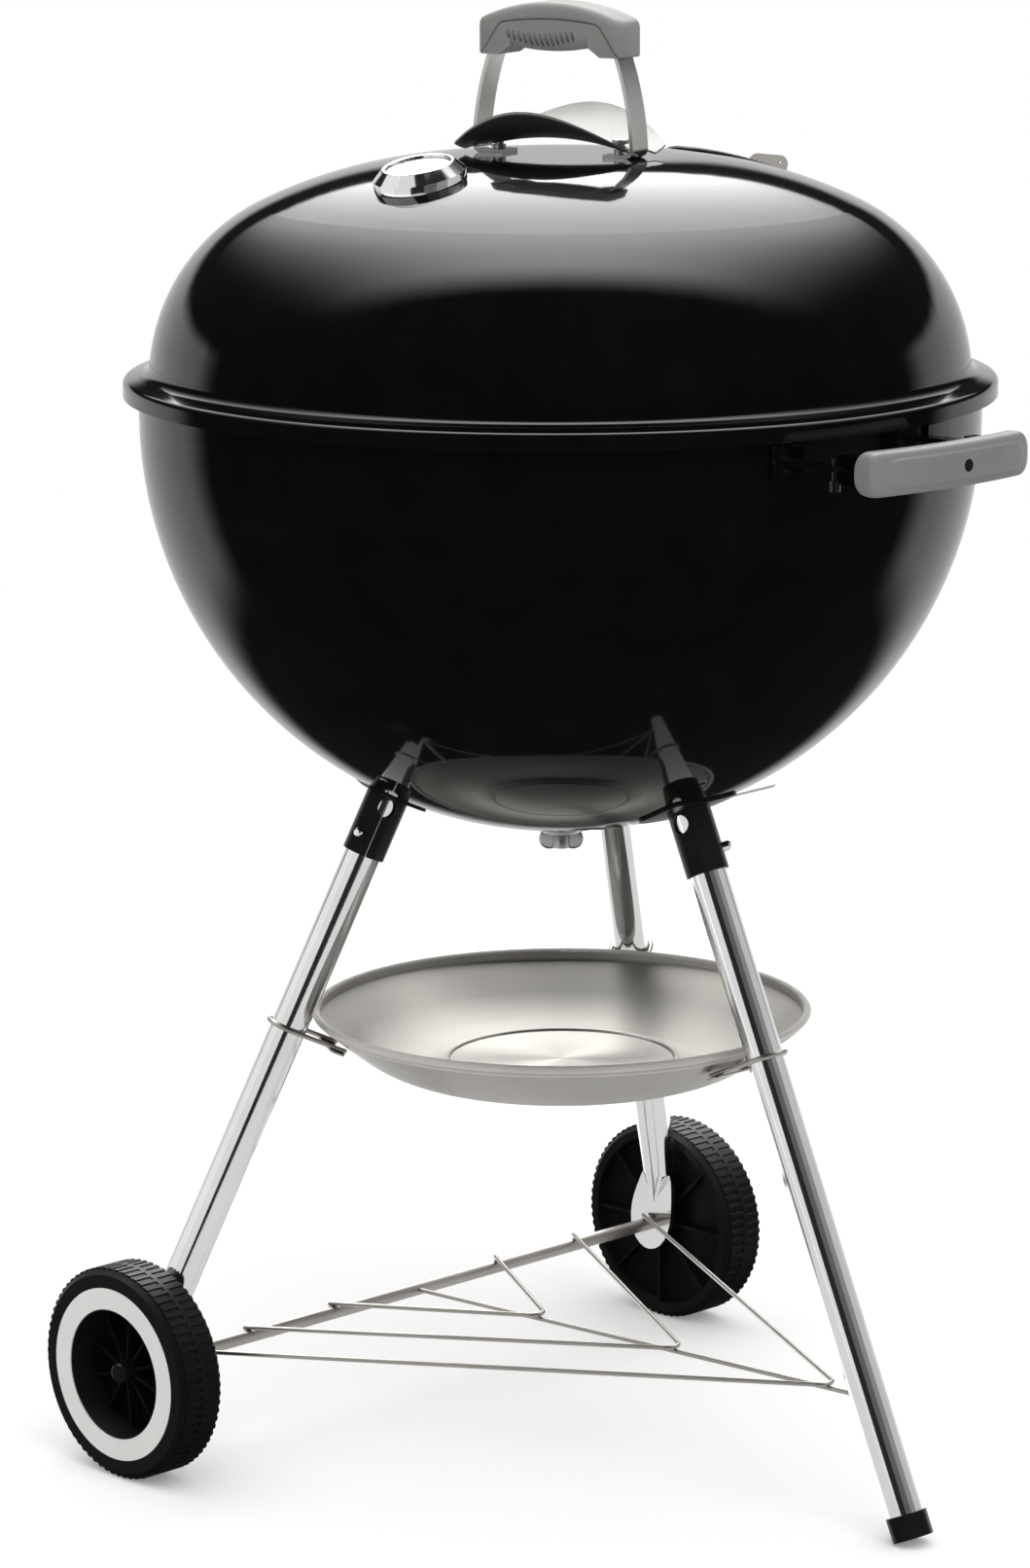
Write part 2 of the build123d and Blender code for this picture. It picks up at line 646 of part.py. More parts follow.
def cleaner_lever():
    """Flat lever bent up towards its rounded end, with a thumb rib along it."""
    top = CLEANER_Z - BUSH_DROP - REST_GAP
    plan = Pos(0, -LEVER_REACH / 2 + LEVER_WIDTH / 4) * Rot(0, 0, 90) * SlotOverall(
        LEVER_REACH + LEVER_WIDTH / 2, LEVER_WIDTH)
    plan += Circle(BUSH_RADIUS)
    blank = extrude(Pos(0, 0, top - 4 * LEVER_RISE) * plan, 8 * LEVER_RISE)
    side = (Line((BUSH_RADIUS, top - LEVER_SHEET / 2), (-LEVER_FLAT, top - LEVER_SHEET / 2))
            + Line((-LEVER_FLAT, top - LEVER_SHEET / 2), (-LEVER_REACH, top - LEVER_SHEET / 2 + LEVER_RISE)))
    sheet = extrude(Plane.YZ * trace(side, LEVER_SHEET), LEVER_WIDTH, both=True)
    lever = blank & sheet
    lever -= round_bar(SHAFT_RADIUS, top - LEVER_RISE, top + LEVER_RISE)
    return about(lever, CLEANER_AZIMUTH)


def wing_nut():
    """Wing nut that clamps the lever on the shaft."""
    top = CLEANER_Z - BUSH_DROP - REST_GAP - LEVER_SHEET
    nut = Pos(0, 0, top - NUT_HEIGHT) * Cone(NUT_RADIUS * 0.8, NUT_RADIUS, NUT_HEIGHT, align=(Align.CENTER, Align.CENTER, Align.MIN))
    for side in (-1, 1):
        ear = Pos(side * (NUT_RADIUS + NUT_EAR * 0.4), 0, top - NUT_EAR) * Rot(90, 0, 0)
        nut += ear * Cylinder(NUT_EAR, NUT_EAR_SHEET)
    nut &= round_bar(BUSH_RADIUS + NUT_EAR, top - 3 * NUT_HEIGHT, top)
    nut -= round_bar(SHAFT_RADIUS, top - 3 * NUT_HEIGHT, top + 1)
    return about(nut, CLEANER_AZIMUTH - 40)


# Grates

def rod_grate(radius, wire, rod_radius, pitch, cross_places, z):
    """A round grate: a hoop, parallel rods welded on top of it and cross bars under the rods."""
    inner = radius - 2 * wire
    edge = radius - HOOP_CHAMFER
    hoop = turned(profile_lines(
        rz(inner, z - wire),
        rz(edge, z - wire),
        rz(radius, z - wire + HOOP_CHAMFER),
        rz(radius, z + wire - HOOP_CHAMFER),
        rz(edge, z + wire),
        rz(inner, z + wire),
        rz(inner, z - wire),
    ))
    bars = []
    flat = cos(radians(180 / GRATE_SIDES))
    turn = 180 / GRATE_SIDES
    reach = edge - ROD_INSET
    count = int((reach - pitch / 2) / pitch)
    for index in range(-count, count + 1):
        x = index * pitch
        place = Pos(x, 0, z + wire + rod_radius * flat)
        section = place * Plane.XZ.location * RegularPolygon(rod_radius, GRATE_SIDES, rotation=turn)
        bars.append(extrude(section, sqrt(reach**2 - x**2), both=True))
    for y in cross_places:
        place = Pos(0, y, z + wire - wire * flat)
        section = place * Plane.YZ.location * RegularPolygon(wire, GRATE_SIDES, rotation=turn)
        bars.append(extrude(section, sqrt((inner - 1) ** 2 - y**2), both=True))
    return hoop.fuse(*bars)


def cooking_grate():
    """Plated cooking grate that rests on the brackets in the bowl."""
    return rod_grate(GRATE_RADIUS, GRATE_WIRE, GRATE_ROD, GRATE_PITCH, GRATE_CROSS, GRATE_Z)


def charcoal_grate():
    """Heavier grate for the charcoal, seated on the curve of the bowl."""
    return rod_grate(COAL_RADIUS, COAL_WIRE, COAL_ROD, COAL_PITCH, COAL_CROSS, coal_z())


def coal_z():
    """The height where the charcoal grate's hoop meets the bowl."""
    clear = BOWL_RADIUS - SHEET - REST_GAP
    side = sqrt(clear**2 - COAL_RADIUS**2) - COAL_WIRE + HOOP_CHAMFER
    foot = sqrt(clear**2 - (COAL_RADIUS - HOOP_CHAMFER) ** 2) - COAL_WIRE
    return BOWL_CENTRE_Z - min(side, foot)


# Lid

def lid_profile(offset):
    """The lid's crown and knuckle at an offset inside its outer face, from the flange to the axis."""
    start = degrees(asin((FLANGE_Z + FLANGE_RISE - offset - LID_BASE_Z) / (LID_KNUCKLE - offset)))
    return [
        profile_arc(KNUCKLE_CENTRE, LID_BASE_Z, LID_KNUCKLE - offset, start, CROWN_ANGLE),
        profile_arc(LID_FLAT_RADIUS, CROWN_Z, LID_CROWN - offset, CROWN_ANGLE, 90),
        *profile_lines(rz(LID_FLAT_RADIUS, LID_TOP_Z - offset), rz(0, LID_TOP_Z - offset)),
    ]


def lid_dome(offset):
    """The space under the lid's dome as a solid, at an offset inside its outer face."""
    edges = lid_profile(offset)
    start = edges[0] @ 0
    return turned(edges + profile_lines(rz(0, LID_TOP_Z - offset), rz(0, start.Z), start))


def lid_shell():
    """Lid dome with a sloping flange and a lip that covers the bowl's bead, and its vent holes."""
    outer = lid_profile(0)
    inner = lid_profile(SHEET)
    first, last = outer[0] @ 0, inner[0] @ 0
    edge = LIP_RADIUS - SHEET
    lip_z = FLANGE_Z - LIP_DEPTH
    shoulder = rz(LIP_RADIUS, FLANGE_Z)
    under = rz(edge, FLANGE_Z - SHEET)
    rim = profile_lines(last, under, rz(edge, lip_z), rz(LIP_RADIUS, lip_z), shoulder, first)
    top = profile_lines(rz(0, LID_TOP_Z), rz(0, LID_TOP_Z - SHEET))
    section = make_face(outer + top + inner + rim)
    bends = (
        (first, FLANGE_FILLET),
        (last, FLANGE_FILLET + SHEET),
        (shoulder, LIP_ROUND + SHEET),
        (under, LIP_ROUND),
    )
    for corner, radius in bends:
        section = fillet(section.vertices().sort_by_distance(corner)[0], radius)
    lid = revolve(section, Axis.Z)
    lid -= DAMPER_FRAME * damper_holes(2 * DAMPER_DISC)
    lid -= DAMPER_FRAME * Cylinder(RIVET_RADIUS, DAMPER_DISC)
    lid -= THERMO_FRAME * Cylinder(PROBE_RADIUS + 0.5, BEZEL_RADIUS)
    for bolt in handle_bolts():
        lid -= bolt
    return lid


def handle_side(length, low, crown_z, shoulder_z):
    """Side view of the lid grip's top: an arched block."""
    half = length / 2
    outline = [
        *profile_lines((-half, shoulder_z), (-half, low), (half, low), (half, shoulder_z)),
        ThreePointArc((half, shoulder_z), (0, crown_z), (-half, shoulder_z)),
    ]
    return make_face(outline)


def seam_side(inset):
    """Side view of the space under the grip's seam: a low arch with sloping ends."""
    half = GRIP_LENGTH / 2 - SEAM_INSET - inset
    low = GRIP_HEIGHT - GRIP_DEPTH - 1
    top = GRIP_HEIGHT - GRIP_DEPTH + SEAM_RISE - inset
    end = (half - SEAM_SLOPE, top - SEAM_CROWN)
    start = (-end[0], end[1])
    face = make_face([
        *profile_lines(start, (-half, low), (half, low), end),
        ThreePointArc(end, (0, top), start),
    ])
    return fillet(face.vertices().group_by(Axis.Y)[-1], SEAM_ROUND)


def belly_height(along):
    """How far the ribbed belly of the grip stands above the grip's posts, at a place along it."""
    return BELLY_SAG + (BELLY_RISE - BELLY_SAG) * (along / BELLY_HALF) ** 2


def belly_side():
    """Side view of the space under the grip's belly, between its two posts."""
    low = GRIP_HEIGHT - GRIP_DEPTH
    post = GRIP_LENGTH / 2 - POST_WIDTH
    end = (BELLY_HALF, low + BELLY_RISE)
    start = (-BELLY_HALF, low + BELLY_RISE)
    return make_face([
        *profile_lines(start, (-post, low), (-post, low - 2), (post, low - 2), (post, low), end),
        ThreePointArc(end, (0, low + BELLY_SAG), start),
    ])


def strap_slots():
    """Slots in the grip for the upper ends of the two straps."""
    low = GRIP_HEIGHT - GRIP_DEPTH
    depth = 2 * (STRAP_TENON + STRAP_SLOT)
    slots = []
    for side in (-1, 1):
        slot = Box(STRAP_THICKNESS + 2 * STRAP_SLOT, STRAP_WIDTH + 2 * STRAP_SLOT, depth)
        slots.append(Pos(side * STRAP_TOP, 0, low) * slot)
    return slots


def lid_handle_grip():
    """Smooth upper half of the lid grip, arched and rounded, hollowed for the ribbed insert."""
    low = GRIP_HEIGHT - GRIP_DEPTH
    side = handle_side(GRIP_LENGTH, low, GRIP_HEIGHT, GRIP_HEIGHT - GRIP_CROWN)
    grip = extrude(Plane.XZ * side, GRIP_WIDTH / 2, both=True)
    grip = fillet(grip.edges().filter_by(Axis.Z), GRIP_CORNER)
    grip = fillet(grip.faces().sort_by(Axis.Z)[-1].edges(), GRIP_CORNER * 0.6)
    grip -= extrude(Plane.XZ * seam_side(0), GRIP_WIDTH, both=True)
    for slot in strap_slots():
        grip -= slot
    return HANDLE_FRAME * grip


def finger_groove(along, half):
    """A skewed ring that cuts one finger groove round the belly and fades out up its sides."""
    size = (half + RIB_FADE) / cos(radians(RIB_SKEW))
    z = GRIP_HEIGHT - GRIP_DEPTH + belly_height(along) + size
    hoop = Rot(0, 0, -RIB_SKEW) * Rot(0, 90, 0) * Torus(size, RIB_GROOVE)
    hoop &= Pos(0, 0, -size) * Box(4 * size, 4 * size, 2 * size)
    return Pos(along, 0, z) * hoop


def lid_handle_insert():
    """Lower half of the grip: a post at each end and a rounded belly with finger grooves between."""
    low = GRIP_HEIGHT - GRIP_DEPTH
    half = GRIP_WIDTH / 2 - INSERT_INSET
    insert = extrude(Plane.XZ * (seam_side(SEAM_GAP) - belly_side()), half, both=True)
    insert -= Pos(0, 0, low - half) * Box(GRIP_LENGTH, GRIP_WIDTH, 2 * half)
    corners = Pos(0, 0, low) * Box(2 * BELLY_HALF, GRIP_WIDTH, 2 * half)
    corners -= Pos(0, 0, low + half) * Rot(0, 90, 0) * Cylinder(half, 4 * BELLY_HALF)
    insert -= corners
    for index in range(RIB_COUNT):
        insert -= finger_groove((index - (RIB_COUNT - 1) / 2) * RIB_PITCH, half)
    for slot in strap_slots():
        insert -= slot
    return HANDLE_FRAME * insert


def handle_bolts():
    """The two bolts' shanks, through the lid."""
    bolts = []
    for side in (-1, 1):
        bolts.append(HANDLE_FRAME * (Pos(side * HANDLE_BOLT_SPACING / 2, 0, 0) * Cylinder(HANDLE_BOLT_RADIUS, 40)))
    return bolts


def lid_strap(side):
    """Bowed flat strap from the grip to a foot on the lid."""
    low = GRIP_HEIGHT - GRIP_DEPTH
    half = STRAP_THICKNESS / 2
    corner = 2 * STRAP_THICKNESS
    dip = corner * (1 - cos(radians(45)))
    bend = STRAP_FOOT - corner
    path = (
        Line((STRAP_TOP, low + STRAP_TENON), (STRAP_TOP, low))
        + ThreePointArc((STRAP_TOP, low), (STRAP_BOW, low * 0.45), (STRAP_FOOT, half + corner))
        + ThreePointArc((STRAP_FOOT, half + corner), (STRAP_FOOT - dip, half + dip), (bend, half))
        + Line((bend, half), (STRAP_FOOT - STRAP_FOOT_LENGTH, half))
    )
    strap = extrude(Plane.XZ * trace(path, STRAP_THICKNESS), STRAP_WIDTH / 2, both=True)
    strap = HANDLE_FRAME * (Rot(0, 0, 0 if side > 0 else 180) * strap)
    for bolt in handle_bolts():
        strap -= bolt
    return strap


def shield_height(along):
    """Height of the heat shield's middle line over the lid, at a place along the handle."""
    return SHIELD_HEIGHT - SHIELD_ARCH + sqrt(SHIELD_ARCH**2 - along**2)


def heat_shield():
    """Saddle-shaped sheet between the straps, with its long sides turned up and a notch for each strap."""
    half = SHIELD_WIDTH / 2
    bowl_z = SHIELD_HEIGHT + SHIELD_WING
    lean = degrees(asin(half / SHIELD_WING)) + 4
    band = []
    for size, order in ((SHIELD_WING, 1), (SHIELD_WING - SHIELD_THICKNESS, -1)):
        points = []
        for angle in (-lean, 0, lean):
            points.append((0, size * sin(radians(angle)) * order, bowl_z - size * cos(radians(angle))))
        band.append(ThreePointArc(*points))
    section = make_face([
        band[0], Line(band[0] @ 1, band[1] @ 0), band[1], Line(band[1] @ 1, band[0] @ 0),
    ])
    turn = degrees(asin(SHIELD_LENGTH / 2 / SHIELD_ARCH)) + 3
    axis = Axis((0, 0, SHIELD_HEIGHT - SHIELD_ARCH), (0, 1, 0))
    saddle = revolve(section.rotate(axis, -turn), axis, 2 * turn)
    end = SHIELD_LENGTH / 2
    outline = make_face([
        Line((-end, -SHIELD_END_WIDTH / 2), (-end, SHIELD_END_WIDTH / 2)),
        ThreePointArc((-end, SHIELD_END_WIDTH / 2), (0, half), (end, SHIELD_END_WIDTH / 2)),
        Line((end, SHIELD_END_WIDTH / 2), (end, -SHIELD_END_WIDTH / 2)),
        ThreePointArc((end, -SHIELD_END_WIDTH / 2), (0, -half), (-end, -SHIELD_END_WIDTH / 2)),
    ])
    saddle &= extrude(outline, SHIELD_WING)
    notch_low = STRAP_FOOT - 3 * STRAP_THICKNESS
    for side in (-1, 1):
        notch = Box(2 * (end - notch_low), STRAP_WIDTH + 2, SHIELD_WING)
        saddle -= Pos(side * end, 0, 0) * notch
        saddle -= Pos(side * HANDLE_BOLT_SPACING / 2, 0, 0) * Cylinder(HANDLE_BOLT_RADIUS, SHIELD_WING)
    return HANDLE_FRAME * saddle


def handle_screws():
    """Shoulder screws that hold the straps and the heat shield on the lid."""
    screws = []
    along = HANDLE_BOLT_SPACING / 2
    shoulder = 1.5 * HANDLE_BOLT_RADIUS
    head_radius = 1.9 * HANDLE_BOLT_RADIUS
    seat = shield_height(along + shoulder) - REST_GAP
    head_z = shield_height(along - head_radius) + SHIELD_THICKNESS + 2 * REST_GAP
    for side in (-1, 1):
        screw = round_bar(HANDLE_BOLT_RADIUS, -SHEET - 7, head_z + 1)
        screw += round_bar(shoulder, STRAP_THICKNESS, seat)
        head = round_bar(head_radius, head_z, head_z + 3)
        screw += fillet(head.edges().group_by(Axis.Z)[-1], 1.4)
        screws.append(HANDLE_FRAME * (Pos(side * along, 0, 0) * screw))
    return screws


def hex_nut(across, bore, height):
    """A hexagon nut hanging below the local origin."""
    return extrude(RegularPolygon(across / sqrt(3), 6) - Circle(bore), -height)


def handle_nuts():
    """Nuts of the handle screws, under the lid."""
    nuts = []
    for side in (-1, 1):
        place = Pos(side * HANDLE_BOLT_SPACING / 2, 0, -SHEET)
        nuts.append(HANDLE_FRAME * (place * hex_nut(10, HANDLE_BOLT_RADIUS, 5)))
    return nuts


def thermometer_bezel():
    """Turned bezel with a straight wall, a groove, a bevel and a mouth for the glass."""
    cavity = BEZEL_RADIUS - 2.5
    deep = -BEZEL_WALL_HEIGHT / 2
    groove_z = BEZEL_WALL_HEIGHT * 0.45
    edges = profile_lines(
        rz(cavity, deep),
        rz(BEZEL_RADIUS - 0.8, deep),
        rz(BEZEL_RADIUS - 0.8, groove_z),
        rz(BEZEL_RADIUS, groove_z),
        rz(BEZEL_RADIUS, BEZEL_WALL_HEIGHT),
        rz(BEZEL_MOUTH + 1.2, BEZEL_HEIGHT),
        rz(BEZEL_MOUTH, BEZEL_HEIGHT),
        rz(BEZEL_MOUTH, BEZEL_HEIGHT - 2.2),
        rz(cavity, BEZEL_WALL_HEIGHT - 0.5),
        rz(cavity, deep),
    )
    return THERMO_FRAME * turned(edges) - lid_dome(0)


def dial_z():
    """Height of the thermometer's dial over the lid."""
    return BEZEL_WALL_HEIGHT - 2.4


def thermometer_dial():
    """Dial plate with its pivot pin."""
    plate = round_bar(DIAL_RADIUS, dial_z() - 1.2, dial_z())
    plate -= round_bar(PROBE_RADIUS, -BEZEL_HEIGHT, dial_z() - 0.6)
    return THERMO_FRAME * (plate + round_bar(1.0, dial_z() - 0.5, dial_z() + 2.4))


def thermometer_needle():
    """Pointer on the dial's pin."""
    low = dial_z() + 0.5
    hub = Circle(2.6)
    point = make_face(Polyline((-1.2, 0), (-1.5, -NEEDLE_LENGTH * 0.35), (1.5, -NEEDLE_LENGTH * 0.35), (1.2, 0),
                               (0.35, NEEDLE_LENGTH), (-0.35, NEEDLE_LENGTH), (-1.2, 0)))
    needle = extrude(hub + point - Circle(1.0 + RUNNING_FIT), 0.8)
    return THERMO_FRAME * (Rot(0, 0, 135) * (Pos(0, 0, low) * needle))


def thermometer_glass():
    """Glass pane in the bezel's mouth."""
    return THERMO_FRAME * round_bar(BEZEL_MOUTH, BEZEL_HEIGHT - 2.0, BEZEL_HEIGHT - 0.6)


def thermometer_stem():
    """Probe through the lid, with a shoulder under the dial."""
    stem = round_bar(PROBE_RADIUS, -PROBE_LENGTH, dial_z() - 0.6)
    stem = fillet(stem.edges().group_by(Axis.Z)[0], PROBE_RADIUS * 0.6)
    stem += round_bar(2.4 * PROBE_RADIUS, 0.6, dial_z() - 1.2)
    return THERMO_FRAME * stem


def thermometer_nut():
    """Nut on the probe, inside the lid."""
    seat = SHEET + 0.1
    return THERMO_FRAME * (Pos(0, 0, -seat) * hex_nut(13, PROBE_RADIUS, 5))


def damper_holes(height):
    """The damper's vent holes as bars."""
    holes = []
    for index in range(DAMPER_HOLES):
        place = Rot(0, 0, 45 + index * 360 / DAMPER_HOLES) * Pos(DAMPER_HOLE_CIRCLE, 0, 0)
        holes.append(place * Cylinder(DAMPER_HOLE_RADIUS, height))
    return Part() + holes


def lid_damper():
    """Dished disc with vent holes, a rivet hole and a turned-up tab with three small holes."""
    low = DAMPER_GAP
    edge_drop = DAMPER_DISH - sqrt(DAMPER_DISH**2 - DAMPER_DISC**2)
    centre = low - DAMPER_DISH
    top = low + DAMPER_SHEET
    middle = DAMPER_DISC / 2
    mid_drop = DAMPER_DISH - sqrt(DAMPER_DISH**2 - middle**2)
    edges = [
        ThreePointArc(rz(0, low), rz(middle, low - mid_drop), rz(DAMPER_DISC, low - edge_drop)),
        Line(rz(DAMPER_DISC, low - edge_drop), rz(DAMPER_DISC, top - edge_drop)),
        ThreePointArc(rz(DAMPER_DISC, top - edge_drop), rz(middle, top - mid_drop), rz(0, top)),
        Line(rz(0, top), rz(0, low)),
    ]
    disc = turned(edges) - damper_holes(4 * DAMPER_DISC)
    disc -= round_bar(RIVET_RADIUS + RUNNING_FIT, centre, top + 1)
    half = DAMPER_TAB_WIDTH / 2
    fold = sqrt(DAMPER_DISC**2 - half**2)
    disc -= Pos(fold + DAMPER_DISC, 0, 0) * Box(2 * DAMPER_DISC, 2 * DAMPER_DISC, 2 * DAMPER_DISC)
    shape = Pos(0, DAMPER_TAB_HEIGHT / 2) * Rectangle(DAMPER_TAB_WIDTH, DAMPER_TAB_HEIGHT)
    shape = fillet(shape.vertices().group_by(Axis.Y)[-1], DAMPER_TAB_ROUND)
    for across, down in ((-0.3, 0.29), (0.24, 0.34), (0.21, 0.6)):
        hole = Pos(across * DAMPER_TAB_WIDTH, (1 - down) * DAMPER_TAB_HEIGHT)
        shape -= hole * Circle(DAMPER_TAB_HOLE)
    tab = extrude(Plane.YZ * shape, DAMPER_SHEET)
    disc += Pos(fold - DAMPER_SHEET, 0, low - edge_drop) * tab
    return DAMPER_FRAME * disc


def damper_rivet():
    """Rivet that the damper turns on."""
    top = DAMPER_GAP + DAMPER_SHEET + REST_GAP
    rivet = round_bar(RIVET_RADIUS, -SHEET - 2, top + 1)
    head = round_bar(2.4 * RIVET_RADIUS, top, top + 2.6)
    rivet += fillet(head.edges().group_by(Axis.Z)[-1], 2.0)
    rivet += round_bar(2 * RIVET_RADIUS, -SHEET - 2.2, -SHEET - 0.2)
    return DAMPER_FRAME * rivet


def lid_hook():
    """Hook inside the lid that hangs it on the bowl's rim."""
    radius = LID_WALL - HOOK_INSET
    root_z = LID_BASE_Z + sqrt(LID_KNUCKLE**2 - (radius - KNUCKLE_CENTRE) ** 2)
    pad = lid_dome(SHEET) - lid_dome(2.2 * SHEET)
    pad &= Pos(0, -radius, root_z) * Box(HOOK_WIDTH, HOOK_PAD, LID_HEIGHT)
    turn_y = 0.6 * HOOK_REACH - radius
    path = (
        Line((-radius, root_z), (-radius, root_z - HOOK_STEM))
        + Line((-radius, root_z - HOOK_STEM), (turn_y, root_z - HOOK_DROP))
        + Line((turn_y, root_z - HOOK_DROP), (HOOK_REACH - radius, root_z - HOOK_DROP + HOOK_LIFT))
    )
    strip = extrude(Plane.YZ * trace(path, 2 * SHEET), HOOK_WIDTH / 2, both=True)
    hook = pad + (strip & lid_dome(SHEET))
    return about(hook, HOOK_AZIMUTH)


# Wheels, axle and rack

def axle_bar(radius, half=None):
    """A bar along the axle."""
    half = AXLE_HALF if half is None else half
    return Pos(0, AXLE_Y, AXLE_Z) * Rot(0, 90, 0) * Cylinder(radius, 2 * half)


def on_axle(shape, side):
    """Places a shape built on the local Z axis at a wheel, with +Z pointing away from the grill."""
    return Pos(side * WHEEL_X, AXLE_Y, AXLE_Z) * Rot(0, side * 90, 0) * shape


def tread_row(low, high, phase):
    """A row of tread ribs: a toothed rim between two heights."""
    root = WHEEL_RADIUS - TREAD_DEPTH
    pitch = 360 / TREAD_COUNT
    points = []
    for index in range(TREAD_COUNT):
        start = index * pitch + phase
        for radius, share in ((root, 0.0), (WHEEL_RADIUS, 0.14), (WHEEL_RADIUS, 0.58), (root, 0.72)):
            angle = radians(start + share * pitch)
            points.append((radius * cos(angle), radius * sin(angle)))
    face = make_face(Polyline(*points, close=True)) - Circle(root - 4)
    return extrude(Pos(0, 0, low) * face, high - low)


def wheel():
    """Moulded wheel: hub, dished web, spokes outside, ribs inside and a rim with two rows of tread."""
    root = WHEEL_RADIUS - TREAD_DEPTH - TREAD_STEP
    bore = AXLE_RADIUS + RUNNING_FIT
    web_low, web_high = 8.0, 12.0
    dish = RING_INNER - 1.0
    well = root - 9.0
    shoulder = 3.0
    hub_low = 0.6 - HUB_GAP
    edges = profile_lines(
        rz(bore, hub_low),
        rz(HUB_RADIUS - 1, hub_low),
        rz(HUB_RADIUS + 1, web_low),
        rz(well - 1, web_low),
        rz(well, 0),
        rz(root - shoulder, 0),
        rz(root, shoulder),
        rz(root, WHEEL_WIDTH - shoulder),
        rz(root - shoulder, WHEEL_WIDTH),
        rz(RING_OUTER + 0.1, WHEEL_WIDTH),
        rz(RING_OUTER + 0.1, WHEEL_WIDTH - RING_SHEET),
        rz(RING_INNER - 0.1, WHEEL_WIDTH - RING_SHEET),
        rz(dish, WHEEL_WIDTH - RING_SHEET),
        rz(dish - 5, web_high),
        rz(HUB_RADIUS, web_high),
        rz(HUB_RADIUS - 2, HUB_LENGTH),
        rz(bore, HUB_LENGTH),
        rz(bore, hub_low),
    )
    body = turned(edges)
    middle = WHEEL_WIDTH / 2
    rows = [
        tread_row(TREAD_SHOULDER, middle - TREAD_RIDGE / 2, 0),
        tread_row(middle + TREAD_RIDGE / 2, WHEEL_WIDTH - TREAD_SHOULDER, 180 / TREAD_COUNT),
        pipe(WHEEL_RADIUS, root - 4, middle - TREAD_RIDGE / 2, middle + TREAD_RIDGE / 2),
    ]
    spoke = make_face(Polyline((bore + 2, web_high - 1), (dish - 3, web_high - 1), (dish - 3, web_high + 9),
                               (HUB_RADIUS - 1, HUB_LENGTH - 3), (bore + 2, HUB_LENGTH - 3), close=True))
    spoke = extrude(Plane.XZ * spoke, RIB_THICKNESS / 2, both=True)
    rib = Pos((well + HUB_RADIUS) / 2, 0, web_low / 2 + 0.8) * Box(well - HUB_RADIUS, RIB_THICKNESS, web_low - 1)
    webs = [Rot(0, 0, index * 360 / SPOKE_COUNT) * spoke for index in range(SPOKE_COUNT)]
    webs += [Rot(0, 0, index * 360 / INNER_RIB_COUNT) * rib for index in range(INNER_RIB_COUNT)]
    return body.fuse(*rows, *webs)


def wheel_ring():
    """Pale trim ring let into the wheel's outer face."""
    return pipe(RING_OUTER, RING_INNER, WHEEL_WIDTH - RING_SHEET, WHEEL_WIDTH + 0.2)


def hub_cap():
    """Domed push-on cap at the axle's end."""
    low = HUB_LENGTH + CAP_GAP
    cap = round_bar(WHEEL_CAP_RADIUS, low, low + WHEEL_CAP_LENGTH)
    cap = fillet(cap.edges().group_by(Axis.Z)[-1], WHEEL_CAP_RADIUS * 0.6)
    return cap - round_bar(AXLE_RADIUS, low - 1, low + WHEEL_CAP_LENGTH - 2.0)


def rack_tube():
    """Tube between the wheel legs that the axle runs through."""
    half = TAB_X - TAB_THICKNESS / 2
    return axle_bar(RACK_TUBE_RADIUS, half) - axle_bar(AXLE_RADIUS + SOCKET_CLEARANCE)


def rack_spine_ends():
    """The two ends of the rack's middle wire: at the tube and inside the front leg's wall."""
    leg_y = FOOT_RADIUS - RACK_FRONT_Z * tan(TILT)
    depth = (TUBE_RADIUS - TUBE_WALL / 2) / cos(TILT)
    return (0, AXLE_Y - RACK_TUBE_RADIUS, AXLE_Z), (0, -leg_y + depth - 2 * TUBE_WALL, RACK_FRONT_Z)


def rack_spine():
    """Middle wire of the rack, from the tube into the front leg."""
    start, end = rack_spine_ends()
    overlap = AXLE_Y - RACK_TUBE_RADIUS / 2
    return rod((0, overlap, AXLE_Z), end, RACK_WIRE_RADIUS) - axle_bar(RACK_TUBE_RADIUS)


def rack_wire(half_width, vertex_y):
    """A V-shaped rack wire that lies on the tube and on the spine."""
    start, end = rack_spine_ends()
    rise = (end[2] - start[2]) / (start[1] - end[1])
    tip = (0, vertex_y, start[2] + rise * (start[1] - vertex_y) + 2 * RACK_WIRE_RADIUS + 0.02)
    rest_z = AXLE_Z + RACK_TUBE_RADIUS + RACK_WIRE_RADIUS
    beyond = 3.0
    ends = []
    for side in (-1, 1):
        share = 1 + beyond / (AXLE_Y - vertex_y)
        ends.append((side * half_width * share, AXLE_Y + beyond, tip[2] + (rest_z - tip[2]) * share))
    path = FilletPolyline(ends[0], tip, ends[1], radius=RACK_BEND)
    return sweep((path ^ 0) * Circle(RACK_WIRE_RADIUS), path=path)


# Ash pan

def pan_wall_points():
    """Corners of the pan's underside: the step under the rim and where the cone ends."""
    step = (PAN_RADIUS - 2 * PAN_BEAD + PAN_SHEET, PAN_RIM_Z - PAN_BEAD - PAN_STEP)
    cone = (step[0] - PAN_CONE_RUN, step[1] - PAN_CONE_RUN * tan(radians(PAN_CONE)))
    return step, cone


